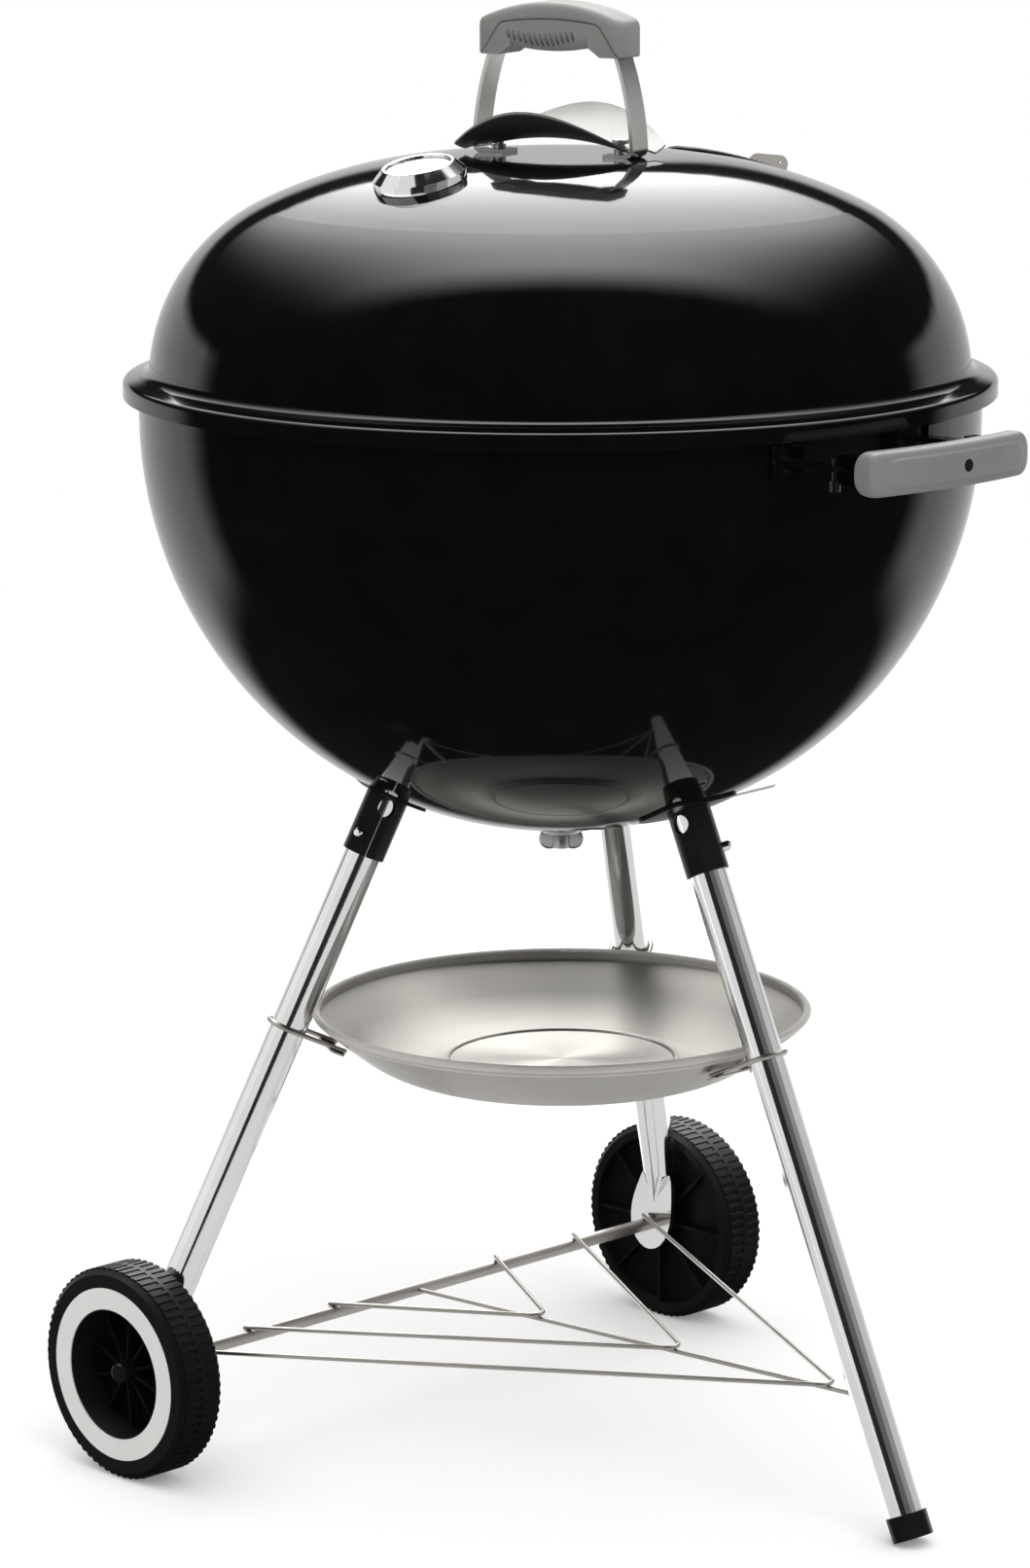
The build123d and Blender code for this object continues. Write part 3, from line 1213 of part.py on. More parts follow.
def ash_pan():
    """Spun pan with a rolled rim, a step, a conical wall and a raised plateau in its floor."""
    step, cone = pan_wall_points()
    floor = PAN_RIM_Z - PAN_DEPTH
    heel = (PAN_FLOOR_RADIUS, floor)
    heel_mid = ((cone[0] + heel[0]) / 2 + 1.5, (cone[1] + heel[1]) / 2 - 3.0)
    plateau = PAN_FLOOR_RADIUS - PAN_PLATEAU_INSET
    rise = PAN_PLATEAU_RISE

    def skin(lift):
        """The pan's section line, raised by a lift."""
        return [
            *profile_lines(
                rz(step[0], PAN_RIM_Z - PAN_BEAD),
                rz(step[0], step[1] + lift),
                rz(cone[0], cone[1] + lift),
            ),
            ThreePointArc(
                rz(cone[0], cone[1] + lift),
                rz(heel_mid[0], heel_mid[1] + lift),
                rz(heel[0], heel[1] + lift),
            ),
            *profile_lines(
                rz(heel[0], heel[1] + lift),
                rz(plateau, floor + lift),
                rz(plateau - rise, floor + rise + lift),
                rz(0, floor + rise + lift),
            ),
        ]

    outer = skin(0)
    inside = PAN_SHEET / cos(radians(PAN_CONE))
    inner = skin(inside)
    wall = turned(outer + profile_lines(rz(0, floor + rise), rz(0, floor + rise + inside)) + inner[1:]
                  + profile_lines(rz(step[0], step[1] + inside), rz(step[0] - PAN_SHEET, step[1] + inside),
                                  rz(step[0] - PAN_SHEET, PAN_RIM_Z - PAN_BEAD), rz(step[0], PAN_RIM_Z - PAN_BEAD)))
    return wall + ring(PAN_RADIUS - PAN_BEAD, PAN_BEAD, PAN_RIM_Z - PAN_BEAD)


def hook_station():
    """Where a pan hook's wire plane crosses the leg, and how far its arms reach towards the pan."""
    step = pan_wall_points()[0]
    below = (HOOK_WIRE + REST_GAP) / cos(radians(PAN_CONE))
    tip_z = step[1] - (step[0] - HOOK_TIP_RADIUS) * tan(radians(PAN_CONE)) - below
    out = FOOT_RADIUS - HOOK_TIP_RADIUS
    return tip_z * cos(TILT) + out * sin(TILT), out * cos(TILT) - tip_z * sin(TILT)


def pan_hook(azimuth):
    """Wire hairpin round a leg whose arms carry the ash pan."""
    station, reach = hook_station()
    bend = TUBE_RADIUS + HOOK_WIRE
    path = (
        Line((-reach, bend), (0, bend))
        + ThreePointArc((0, bend), (bend, 0), (0, -bend))
        + Line((0, -bend), (-reach, -bend))
    )
    wire = sweep((path ^ 0) * Circle(HOOK_WIRE), path=path)
    return on_leg(Pos(0, 0, station) * wire, azimuth)


def pan_clips():
    """Small plates welded across the ends of the hooks' arms."""
    station, reach = hook_station()
    bend = TUBE_RADIUS + HOOK_WIRE
    plate = Box(CLIP_WIDTH, 2 * bend + 14, PAN_SHEET)
    plate = fillet(plate.edges().filter_by(Axis.Z), CLIP_WIDTH / 3)
    place = Pos(CLIP_WIDTH / 2 + 1 - reach, 0, station - HOOK_WIRE - PAN_SHEET / 2)
    return [on_leg(place * plate, azimuth) for azimuth in LEGS.values()]


def make_nodes():
    """Every node by name: a solid, or a list of separate solids."""
    nodes = {
        "bowl": bowl(),
        "foot_cap": foot_cap(),
        "leg_front": leg_front(),
        "button_springs": [on_leg(button_spring(), azimuth) for azimuth in LEGS.values()],
        "bowl_handle": bowl_handle(),
        "bowl_handle_brackets": bowl_handle_brackets(),
        "bowl_handle_screws": [handle_screw(x) for x in bracket_places()[0]],
        "grate_supports": grate_supports(),
        "cleaner_bush": cleaner_bush(),
        "cleaner_blades": cleaner_blades(),
        "cleaner_shaft": cleaner_shaft(),
        "cleaner_lever": cleaner_lever(),
        "wing_nut": wing_nut(),
        "cooking_grate": cooking_grate(),
        "charcoal_grate": charcoal_grate(),
        "lid_shell": lid_shell(),
        "lid_handle_grip": lid_handle_grip(),
        "lid_handle_insert": lid_handle_insert(),
        "lid_strap_front": lid_strap(1),
        "lid_strap_rear": lid_strap(-1),
        "heat_shield": heat_shield(),
        "handle_screws": handle_screws(),
        "handle_nuts": handle_nuts(),
        "thermometer_bezel": thermometer_bezel(),
        "thermometer_glass": thermometer_glass(),
        "thermometer_dial": thermometer_dial(),
        "thermometer_needle": thermometer_needle(),
        "thermometer_stem": thermometer_stem(),
        "thermometer_nut": thermometer_nut(),
        "lid_damper": lid_damper(),
        "damper_rivet": damper_rivet(),
        "lid_hook": lid_hook(),
        "axle": axle_bar(AXLE_RADIUS),
        "rack_tube": rack_tube(),
        "rack_spine": rack_spine(),
        "ash_pan": ash_pan(),
        "pan_clips": pan_clips(),
    }
    for name, half_width, vertex_y in zip(("outer", "middle", "inner"), RACK_HALF_WIDTHS, RACK_VERTEX_Y):
        nodes[f"rack_wire_{name}"] = rack_wire(half_width, vertex_y)
    for name, azimuth in LEGS.items():
        nodes[f"leg_socket_{name}"] = leg_socket(azimuth)
        nodes[f"leg_button_{name}"] = on_leg(leg_button(), azimuth)
        nodes[f"pan_hook_{name}"] = pan_hook(azimuth)
    tyre, trim, cap = wheel(), wheel_ring(), hub_cap()
    for name, side in SIDES.items():
        nodes[f"leg_{name}"] = leg_wheeled(side)
        nodes[f"wheel_{name}"] = on_axle(tyre, side)
        nodes[f"wheel_ring_{name}"] = on_axle(trim, side)
        nodes[f"hub_cap_{name}"] = on_axle(cap, side)
    return nodes


def main():
    """Writes one STEP file per node."""
    os.makedirs("parts", exist_ok=True)
    for name, shape in make_nodes().items():
        solids = shape if isinstance(shape, list) else [shape]
        pieces = [solid for item in solids for solid in item.solids()]
        export_step(Compound(children=pieces) if len(pieces) > 1 else pieces[0], f"parts/{name}.step")


main()
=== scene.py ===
"""Looks of a kettle charcoal grill, its studio and the camera. Metres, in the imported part's frame."""
import bmesh
import bpy
import json
from math import atan2, copysign, cos, hypot, pi, radians, sin
from mathutils import Matrix, Vector


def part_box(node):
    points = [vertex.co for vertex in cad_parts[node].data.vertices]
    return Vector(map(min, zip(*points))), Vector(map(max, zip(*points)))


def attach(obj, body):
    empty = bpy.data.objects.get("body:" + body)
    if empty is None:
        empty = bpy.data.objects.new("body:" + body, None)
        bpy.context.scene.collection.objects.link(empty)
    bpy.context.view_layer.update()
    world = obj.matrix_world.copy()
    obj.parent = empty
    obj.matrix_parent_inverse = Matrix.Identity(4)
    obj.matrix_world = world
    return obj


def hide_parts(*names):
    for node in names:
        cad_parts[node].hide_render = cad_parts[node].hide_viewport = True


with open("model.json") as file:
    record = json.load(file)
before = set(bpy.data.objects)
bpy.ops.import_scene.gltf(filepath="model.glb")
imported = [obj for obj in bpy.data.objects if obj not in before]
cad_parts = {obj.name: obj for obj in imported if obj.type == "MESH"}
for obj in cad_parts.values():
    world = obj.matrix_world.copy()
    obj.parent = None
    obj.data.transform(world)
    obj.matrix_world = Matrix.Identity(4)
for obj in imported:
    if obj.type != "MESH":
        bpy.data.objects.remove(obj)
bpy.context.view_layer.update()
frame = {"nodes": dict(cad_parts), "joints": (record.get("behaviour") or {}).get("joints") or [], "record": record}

# Camera, solved from the round rims, the wheels and the legs in the photograph, with a lens in millimetres
CAMERA_PLACE = (-2.65845, -2.67687, 1.24347)
CAMERA_FORWARD = Vector((0.684366, 0.700808, -0.201275))
CAMERA_RIGHT = Vector((0.714898, -0.699219, -0.003808))
CAMERA_LENS = 195.27
CAMERA_SENSOR = 36.0
CAMERA_REACH = 60.0

# Studio. The softbox is flat and over the grill, so its edges are slopes along and across the view.
SOFTBOX_LEVEL = 5.2
SOFTBOX_FALLOFF = -2.6
SOFTBOX_NEAR = (-0.27, 0.13)
SOFTBOX_FAR = (3.0, 2.7)
SOFTBOX_HORIZON = (0.0, 0.1)
SOFTBOX_LOWEST = 0.02
BACKDROP_LEVEL = 0.75
BACKDROP_SIDES = (radians(110), radians(124))
BACKDROP_TOP = (0.21, 0.13)
BACKDROP_FOOT = (-0.54, -0.38)
DARK_LEVEL = 0.02
FILL_LEVEL = 0.55
FLOOR_RADIUS = 4.0
FLOOR_FADE = (1.6, 3.6)
FLOOR_GLOW = 0.2

# Materials: noise scales per metre, and the range in which most of a noise lies
NOISE_RANGE = (0.3, 0.7)
TONE_DETAIL = 4.0
FINE_DETAIL = 3.0
TONE_SCALE = 30.0
STAIN_SCALE = 14.0
RING_SCALE = 900.0

# Shapes: the innermost ring of a turned face in millimetres, and the corners of a square as signs
INNER_RING = 0.01
SQUARE = ((-1, -1), (1, -1), (1, 1), (-1, 1))

# Lid grip
GRIP_CELL = 0.0008
GRIP_PASSES = 14

# Thermometer in millimetres: a mark is its inner radius and half width, a profile radius and height
DIAL_HEIGHT = 6.6
DIAL_SWEEP = 270
DIAL_MARKS = 24
MARK_STEP = 20
MARK_OUTER = 19
LONG_MARK_EVERY = 3
LONG_MARK = (15.6, 0.28)
SHORT_MARK = (17.2, 0.16)
NUMBER_EVERY = 6
NUMBER_RADIUS = 12.5
NUMBER_SIZE = 4.2
PRINT_LIFT = 0.06
BEZEL = ((28.6, 0), (28.6, -2.2), (31, -2.2), (31, 4.8), (30.7, 5.3), (24.8, 11.1), (24.5, 11.7),
         (23.7, 12.2), (22.6, 12.2), (21.7, 11.8), (21.2, 11.1), (21.1, 9.5), (27.4, 7.7), (27.4, 0))
PANE = ((21.1, 9.8), (21.1, 10.4), (14, 10.7), (7, 10.8), (INNER_RING, 10.85), (INNER_RING, 9.8))

# Cove at the lid's flange, as radius and height in millimetres
COVE_WALL = Vector((278.35, 763.8))
COVE_CORNER = Vector((278.98, 757.55))
COVE_FLANGE = Vector((285.4, 755.8))
COVE_STEPS = 16

# Wheels: the tread's bed is a radius and a depth in millimetres
WHEEL_SIDES = ((-1, "left"), (1, "right"))
WHEEL_X = 0.25009
TREAD_BED = ((72.0, 3.2), (73.5, 3.7), (73.5, 32.8), (72.0, 33.3))

# Pressed ends of the wheel legs. The outline of the tab is a height and a half width in millimetres.
PRESS_STEPS = 12
PRESS_SHARE = 0.985
LEG_SPREAD = radians(120)
LEG_TILT = radians(24.24)
LEG_FOOT = 0.3326
LEG_THROAT = 0.132
LEG_TOP = 0.5105
TUBE_RADIUS = 0.0127
TAB_X = 0.24269
TAB_LEAN = radians(12.69)
TAB_HALF = 0.002
TAB_TIP = 0.0145
TAB_OUTLINE = ((-20, 1), (-19.2, 5), (-16.5, 10.2), (-12, 14.6), (-6, 17.8), (1, 19.6), (8, 20.2),
               (15, 19.8), (24, 18.2), (33, 16.2), (40, 14.2), (46, 11))

# Bowl handle in millimetres
BAR_STEPS = 72
BAR_SIDES = 96
BAR_SQUARE = 3.6
END_SQUARE = 2.6
END_LEAST = 0.02
END_DEPTH = 0.55
BAR_X = 6.5
BAR_HALF = 76.0
BAR_END = 10.0
BAR_Y = -339.0
BAR_BOW = 7.0
BAR_Z = 725.0
BAR_DEPTH = 9.3
BAR_HEIGHT = 14.6
PAD_HALF = 56.0
PAD_HEIGHT = 10.2
PAD_PROUD = 1.4
PAD_EDGE = 1.4
# The hole is a flat black disc just proud of the pad: painted shade
HOLE_X = 12.5
HOLE_RADIUS = 4.1
HOLE_PROUD = 0.05
ARM_X = 61.5
ARM_HALF = 5.0
ARM_HEIGHT = 9.0
ARM_BACK = -308.5

# Wing nut, with the hub as radius and height
NUT_TURN = radians(-44.4)
NUT_HUB = ((0.0002, 0.005), (0.0045, 0.005), (0.006, 0.003), (0.006, -0.005), (0.0002, -0.005))
EAR_STEPS = 12
EAR_OUT = 0.0082
EAR_LIFT = 0.001
EAR_RADIUS = 0.0072
EAR_LEAST = 0.0001
EAR_HALF = 0.0016
EAR_ROUND = 0.4

# Ash pan: its pressed floor in millimetres and the radius of its rim in metres
PAN_RING = 80.0
PAN_FLOOR = 4.0
PAN_SKIRT = ((14, 0.1), (4, 2.0))
RIDGE_STEPS = 10
RIDGE_HALF = 2.4
RIDGE_RISE = 1.9
PLATEAU_RISE = 2.4
PAN_RIM = 0.169
PAN_RIM_FADE = 0.002
PAN_RIM_DULL = -0.45
PAN_RIM_ROUGH = 0.18

# Cards that only metal mirrors: degrees round from the camera, width and level
METAL_SLOTS = ("chrome", "plated_wire", "steel", "aluminium")
CARDS = ((-47.5, 2.0, 0.62), (-90.5, 2.0, 0.7), (20, 1.34, 0.08), (50, 1.34, 0.2), (88.5, 2.17, 0.45))
CARD_WATTS = 4.0
CARD_DISTANCE = 2.5
CARD_HEIGHT = 4.0
CARD_Z = 2.0
FLOOR_CARD_Z = 0.003
FLOOR_CARD_SIZE = 6.0
FLOOR_CARD_LEVEL = 0.58


# Node helpers

def node(tree, kind, inputs=None, **settings):
    """Adds a shader node with settings and input values. A socket as a value is linked."""
    made = tree.nodes.new(kind)
    for name, value in settings.items():
        setattr(made, name, value)
    for name, value in (inputs or {}).items():
        if isinstance(value, bpy.types.NodeSocket):
            tree.links.new(value, made.inputs[name])
        else:
            made.inputs[name].default_value = value
    return made


def material(name, **values):
    """A new material and its tree, with constants set on the shader's own sockets."""
    made = bpy.data.materials.new(name)
    made.use_nodes = True
    shader = made.node_tree.nodes["Principled BSDF"]
    for key, value in values.items():
        shader.inputs[key.replace("_", " ")].default_value = value
    return made, made.node_tree, shader


def grain(tree, scale, detail, stretch=(1, 1, 1)):
    """Noise in object space, with a scale per metre and a stretch per axis."""
    place = node(tree, "ShaderNodeTexCoord").outputs["Object"]
    placed = node(tree, "ShaderNodeMapping", {"Vector": place, "Scale": stretch}).outputs["Vector"]
    noise = node(tree, "ShaderNodeTexNoise", {"Vector": placed, "Scale": scale, "Detail": detail})
    return noise.outputs["Fac"]


def ramp(tree, factor, dark, light):
    """A colour between two, over the range in which most of a noise lies."""
    made = node(tree, "ShaderNodeValToRGB", {"Fac": factor})
    for element, place, colour in zip(made.color_ramp.elements, NOISE_RANGE, (dark, light)):
        element.position = place
        element.color = (*colour, 1)
    return made.outputs["Color"]


def sums(tree, operation, *values):
    """A math node's value."""
    return node(tree, "ShaderNodeMath", dict(enumerate(values)), operation=operation).outputs["Value"]


def vector_sums(tree, operation, output, *values):
    """A vector math node's vector or value."""
    made = node(tree, "ShaderNodeVectorMath", dict(enumerate(values)), operation=operation)
    return made.outputs[output]


def fade(tree, value, low, high):
    """Rises smoothly from 0 at one value to 1 at another."""
    made = node(tree, "ShaderNodeMapRange", {"Value": value, "From Min": low, "From Max": high},
                interpolation_type="SMOOTHSTEP")
    return made.outputs["Result"]


def spread(tree, factor, low, high):
    """A value between two, over the range in which most of a noise lies."""
    start, end = NOISE_RANGE
    made = node(tree, "ShaderNodeMapRange", {
        "Value": factor, "From Min": start, "From Max": end, "To Min": low, "To Max": high})
    return made.outputs["Result"]


def relief(tree, height, strength, distance):
    """A bump from a height."""
    made = node(tree, "ShaderNodeBump", {"Height": height, "Strength": strength, "Distance": distance})
    return made.outputs["Normal"]


def link(tree, output, shader, name):
    """Links a value to one of the shader's sockets."""
    tree.links.new(output, shader.inputs[name])


def surface(name, dark, light, rough, metal=0.0, grain_scale=900.0, bump=0.05, depth=0.0002,
            stretch=(1, 1, 1), **values):
    """A material with a mottled tone, an uneven gloss and a fine relief."""
    made, tree, shader = material(name, Metallic=metal, **values)
    tone = grain(tree, TONE_SCALE, TONE_DETAIL)
    fine = grain(tree, grain_scale, FINE_DETAIL, stretch)
    link(tree, ramp(tree, tone, dark, light), shader, "Base Color")
    link(tree, spread(tree, fine, *rough), shader, "Roughness")
    link(tree, relief(tree, fine, bump, depth), shader, "Normal")
    return made


def brushed_pan():
    """Spun aluminium: rings of fine turning marks, a gloss that runs round the axis and a duller rim."""
    made, tree, shader = material("spun_aluminium", Anisotropic=0.85, Anisotropic_Rotation=0.25)
    place = node(tree, "ShaderNodeTexCoord").outputs["Object"]
    split = node(tree, "ShaderNodeSeparateXYZ", {"Vector": place})
    flat = vector_sums(tree, "MULTIPLY", "Vector", place, (1, 1, 0))
    radius = vector_sums(tree, "LENGTH", "Value", flat)
    rings_at = node(tree, "ShaderNodeCombineXYZ", {"X": radius, "Y": split.outputs["Z"]}).outputs["Vector"]
    noise = node(tree, "ShaderNodeTexNoise", {
        "Vector": rings_at, "Scale": RING_SCALE, "Detail": TONE_DETAIL})
    rings = noise.outputs["Fac"]
    stain = grain(tree, STAIN_SCALE, TONE_DETAIL)
    link(tree, ramp(tree, stain, (0.47, 0.454, 0.424), (0.53, 0.512, 0.48)), shader, "Base Color")
    rim = fade(tree, radius, PAN_RIM - PAN_RIM_FADE, PAN_RIM)
    link(tree, sums(tree, "MULTIPLY_ADD", rim, PAN_RIM_DULL, 1.0), shader, "Metallic")
    rough = sums(tree, "MULTIPLY_ADD", rim, PAN_RIM_ROUGH, spread(tree, rings, 0.42, 0.5))
    link(tree, rough, shader, "Roughness")
    link(tree, relief(tree, rings, strength=0.05, distance=0.0002), shader, "Normal")
    tangent = node(tree, "ShaderNodeTangent", direction_type="RADIAL", axis="Z").outputs["Tangent"]
    link(tree, tangent, shader, "Tangent")
    return made


LOOKS = {
    "enamel": surface("black_enamel", (0.0026, 0.0024, 0.0022), (0.0042, 0.0039, 0.0036), (0.05, 0.075),
                      grain_scale=420.0, bump=0.015, IOR=1.45),
    "nylon": surface("grey_nylon", (0.3, 0.293, 0.282), (0.33, 0.323, 0.312), (0.38, 0.5),
                     grain_scale=2600.0, bump=0.12),
    # The grips' grey nylon made darker for the handle bar: painted shade for the shade the bar sits in under the
    # bowl and lid
    "shaded_nylon": surface("grey_nylon_painted_shade", (0.225, 0.222, 0.217), (0.25, 0.246, 0.241), (0.34, 0.44),
                            grain_scale=2600.0, bump=0.12),
    "chrome": surface("polished_chrome", (0.80, 0.80, 0.80), (0.86, 0.86, 0.86), (0.06, 0.12), metal=1.0,
                      grain_scale=700.0, bump=0.01, depth=0.0001),
    "black_steel": surface("black_painted_steel", (0.010, 0.010, 0.010), (0.016, 0.016, 0.016), (0.22, 0.34),
                           grain_scale=1400.0, bump=0.08),
    "black_plastic": surface("gloss_black_plastic", (0.008, 0.008, 0.008), (0.012, 0.012, 0.012),
                             (0.14, 0.22), grain_scale=1200.0, bump=0.04),
    "wheel_plastic": surface("wheel_plastic", (0.005, 0.005, 0.005), (0.008, 0.008, 0.008), (0.42, 0.56),
                             grain_scale=1600.0, bump=0.15, depth=0.0003),
    "white_trim": surface("pale_trim", (0.80, 0.79, 0.77), (0.86, 0.85, 0.83), (0.34, 0.44),
                          grain_scale=1800.0),
    "aluminium": brushed_pan(),
    "plated_wire": surface("plated_wire", (0.37, 0.35, 0.32), (0.44, 0.42, 0.39), (0.28, 0.4), metal=1.0,
                           grain_scale=1500.0),
    "steel": surface("bare_steel", (0.42, 0.42, 0.42), (0.52, 0.52, 0.52), (0.3, 0.42), metal=1.0,
                     grain_scale=1500.0),
    "satin": surface("satin_steel", (0.50, 0.495, 0.48), (0.56, 0.555, 0.54), (0.26, 0.38), metal=1.0,
                     stretch=(1, 1, 0.06), bump=0.06),
    "shield": surface("brushed_shield", (0.26, 0.256, 0.248), (0.31, 0.306, 0.298), (0.48, 0.56), metal=1.0,
                      stretch=(1, 1, 0.06)),
    "dial": surface("dial_face", (0.56, 0.55, 0.53), (0.62, 0.61, 0.59), (0.4, 0.5),
                    grain_scale=2400.0, bump=0.02),
    "needle": surface("pointer_paint", (0.015, 0.015, 0.015), (0.02, 0.02, 0.02), (0.3, 0.4),
                      grain_scale=2400.0),
    "glass": surface("dial_glass", (0.95, 0.97, 0.96), (1.0, 1.0, 1.0), (0.02, 0.04),
                     grain_scale=300.0, bump=0.002, Transmission_Weight=1.0, IOR=1.45),
}

# Nodes that look other than their slot
NODE_LOOKS = {"lid_strap_front": "satin", "lid_strap_rear": "satin", "heat_shield": "shield",
              "bowl_handle_screws": "enamel", "bowl_handle_brackets": "enamel"}

METALS = bpy.data.collections.new("bare_metal")


def dress():
    """Gives every CAD node its look, and gathers the bare metal."""
    for entry in frame["record"]["subparts"]:
        piece = frame["nodes"][entry["node"]]
        for slot in piece.material_slots:
            slot.material = LOOKS[NODE_LOOKS.get(entry["node"], entry["material_slot"])]
        if entry["material_slot"] in METAL_SLOTS:
            METALS.objects.link(piece)


# Forms that the solids leave plain

def add(name, mesh, look, body, replaced=()):
    """A dressed piece on a body. It may stand for CAD nodes, and have a slot other than its look's name."""
    piece = bpy.data.objects.new(name, mesh)
    bpy.context.scene.collection.objects.link(piece)
    mesh.materials.append(LOOKS[look])
    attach(piece, body)
    if replaced:
        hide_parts(*replaced)
    if look in METAL_SLOTS:
        METALS.objects.link(piece)


def mesh_of(name, points, faces, place=Matrix.Identity(4), crease=35):
    """A smooth mesh with its faces outward and edges over an angle kept sharp, moved by a matrix."""
    mesh = bpy.data.meshes.new(name)
    mesh.from_pydata([place @ Vector(point) for point in points], [], faces)
    skin = bmesh.new()
    skin.from_mesh(mesh)
    bmesh.ops.recalc_face_normals(skin, faces=skin.faces)
    skin.to_mesh(mesh)
    skin.free()
    mesh.shade_smooth()
    mesh.set_sharp_from_angle(angle=radians(crease))
    mesh.update()
    return mesh


def lathe(name, profile, place=Matrix.Identity(4), segments=240, closed=False, crease=35):
    """A mesh turned round Z from (radius, height) points in millimetres."""
    points, faces = [], []
    count = len(profile)
    for index in range(segments):
        angle = 2 * pi * index / segments
        x, y = cos(angle) / 1000, sin(angle) / 1000
        points += [(radius * x, radius * y, z / 1000) for radius, z in profile]
    for index in range(segments):
        low, high = index * count, (index + 1) % segments * count
        for step in range(count if closed else count - 1):
            after = (step + 1) % count
            faces.append((low + step, high + step, high + after, low + after))
    return mesh_of(name, points, faces, place, crease)


def facing(place, up):
    """A matrix that sets the local Z axis along a direction at a place."""
    return Matrix.Translation(place) @ Vector(up).to_track_quat("Z", "Y").to_matrix().to_4x4()


def soften(name, cell, passes):
    """Rounds the edges of a moulded node: an even mesh, then smoothing."""
    piece = frame["nodes"][name]
    even = piece.modifiers.new("even", "REMESH")
    even.mode = "VOXEL"
    even.voxel_size = cell
    even.use_smooth_shade = True
    soft = piece.modifiers.new("soft", "SMOOTH")
    soft.iterations = passes


def joint(name):
    """A joint's place and axis."""
    found = next(entry for entry in frame["joints"] if entry["name"] == name)
    return Vector(found["pos_m"]), Vector(found["axis"]).normalized()


def thermometer():
    """A low bezel with a bevel and a rounded ring, its glass, and a dial with marks and numbers."""
    pivot, down = joint("thermometer_turn")
    seat = facing(pivot + down * DIAL_HEIGHT / 1000, -down)
    add("bezel", lathe("bezel", BEZEL, seat, closed=True), "chrome", "lid", ("thermometer_bezel",))
    add("pane", lathe("pane", PANE, seat, closed=True), "glass", "lid", ("thermometer_glass",))
    print_z = (DIAL_HEIGHT + PRINT_LIFT) / 1000
    turns = [radians(DIAL_SWEEP * (0.5 - index / DIAL_MARKS)) for index in range(DIAL_MARKS + 1)]
    points, faces = [], []
    for index, angle in enumerate(turns):
        inner, half = SHORT_MARK if index % LONG_MARK_EVERY else LONG_MARK
        turn = Matrix.Rotation(angle, 4, "Z")
        start = len(points)
        corners = ((-half, inner), (half, inner), (half, MARK_OUTER), (-half, MARK_OUTER))
        points += [turn @ Vector((x / 1000, y / 1000, print_z)) for x, y in corners]
        faces.append((start, start + 1, start + 2, start + 3))
    add("dial_marks", mesh_of("dial_marks", points, faces, seat), "needle", "lid")
    for index in range(0, DIAL_MARKS + 1, NUMBER_EVERY):
        turn = turns[index]
        words = bpy.data.curves.new("dial_number", "FONT")
        words.body = str(index * MARK_STEP)
        words.size = NUMBER_SIZE / 1000
        words.align_x, words.align_y = "CENTER", "CENTER"
        words.materials.append(LOOKS["needle"])
        number = bpy.data.objects.new("dial_number", words)
        out = NUMBER_RADIUS / 1000
        number.matrix_world = seat @ Matrix.Translation((-out * sin(turn), out * cos(turn), print_z))
        bpy.context.scene.collection.objects.link(number)
        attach(number, "lid")


def flange_cove():
    """A soft cove between the lid's wall and its flange."""
    profile = []
    for index in range(COVE_STEPS + 1):
        t = index / COVE_STEPS
        profile.append(tuple((1 - t) ** 2 * COVE_WALL + 2 * t * (1 - t) * COVE_CORNER + t * t * COVE_FLANGE))
    add("flange_cove", lathe("flange_cove", profile, segments=360), "enamel", "lid")


def tread_beds():
    """The bed between the tread ribs of each wheel, so that they are shallow."""
    for side, name in WHEEL_SIDES:
        hub, _ = joint(name + "_wheel_spin")
        hub.x = side * WHEEL_X
        place = Matrix.Translation(hub) @ Matrix.Rotation(radians(90 * side), 4, "Y")
        mesh = lathe("tread_bed_" + name, TREAD_BED, place)
        add("tread_bed_" + name, mesh, "wheel_plastic", name + "_wheel")


def sweep(points, faces, rings):
    """Adds a skin over rings of equal point counts."""
    first, count = len(points), len(rings[0])
    for ring in rings:
        points += ring
    for step in range(len(rings) - 1):
        low = first + step * count
        for index in range(count):
            after = (index + 1) % count
            faces.append((low + index, low + after, low + count + after, low + count + index))


def circle(place, size, segments=64):
    """Points of a circle in a matrix's XY plane."""
    turns = [2 * pi * index / segments for index in range(segments)]
    return [place @ Vector((size * cos(turn), size * sin(turn), 0)) for turn in turns]


def wheel_leg(side, name):
    """A wheel leg: its tube, the wedge where the tube is pressed flat and the tab that holds the axle."""
    turn = side * LEG_SPREAD
    outward = Vector((sin(turn), -cos(turn), 0))
    up = (-outward * sin(LEG_TILT) + Vector((0, 0, cos(LEG_TILT)))).normalized()
    foot = outward * LEG_FOOT
    throat, top = foot + up * LEG_THROAT, foot + up * LEG_TOP
    axle, _ = joint(name + "_wheel_spin")
    axle.x = side * TAB_X
    lean = Vector((0, -sin(TAB_LEAN), cos(TAB_LEAN)))
    across = Vector((0, cos(TAB_LEAN), sin(TAB_LEAN)))
    tip = axle + lean * TAB_TIP
    points, faces = [], []
    sweep(points, faces, [circle(facing(place, up), TUBE_RADIUS) for place in (top, throat)])
    wedge = []
    for step in range(PRESS_STEPS + 1):
        share = step / PRESS_STEPS
        wedge.append(circle(facing(throat.lerp(tip, share), up), TUBE_RADIUS * (1 - PRESS_SHARE * share)))
    sweep(points, faces, wedge)
    outline = [(half, height) for height, half in TAB_OUTLINE]
    outline += [(-half, height) for height, half in reversed(TAB_OUTLINE)]
    sides = []
    for lift in (-TAB_HALF, TAB_HALF):
        middle = axle + Vector((side * lift, 0, 0))
        sides.append([middle + across * (u / 1000) + lean * (v / 1000) for u, v in outline])
    first = len(points)
    sweep(points, faces, sides)
    faces.append(tuple(range(first, first + len(outline))))
    faces.append(tuple(range(first + len(outline), first + 2 * len(outline))))
    leg = "leg_" + name
    mesh = mesh_of(leg + "_pressed", points, faces, crease=50)
    add(leg + "_pressed", mesh, "chrome", "stand", (leg,))


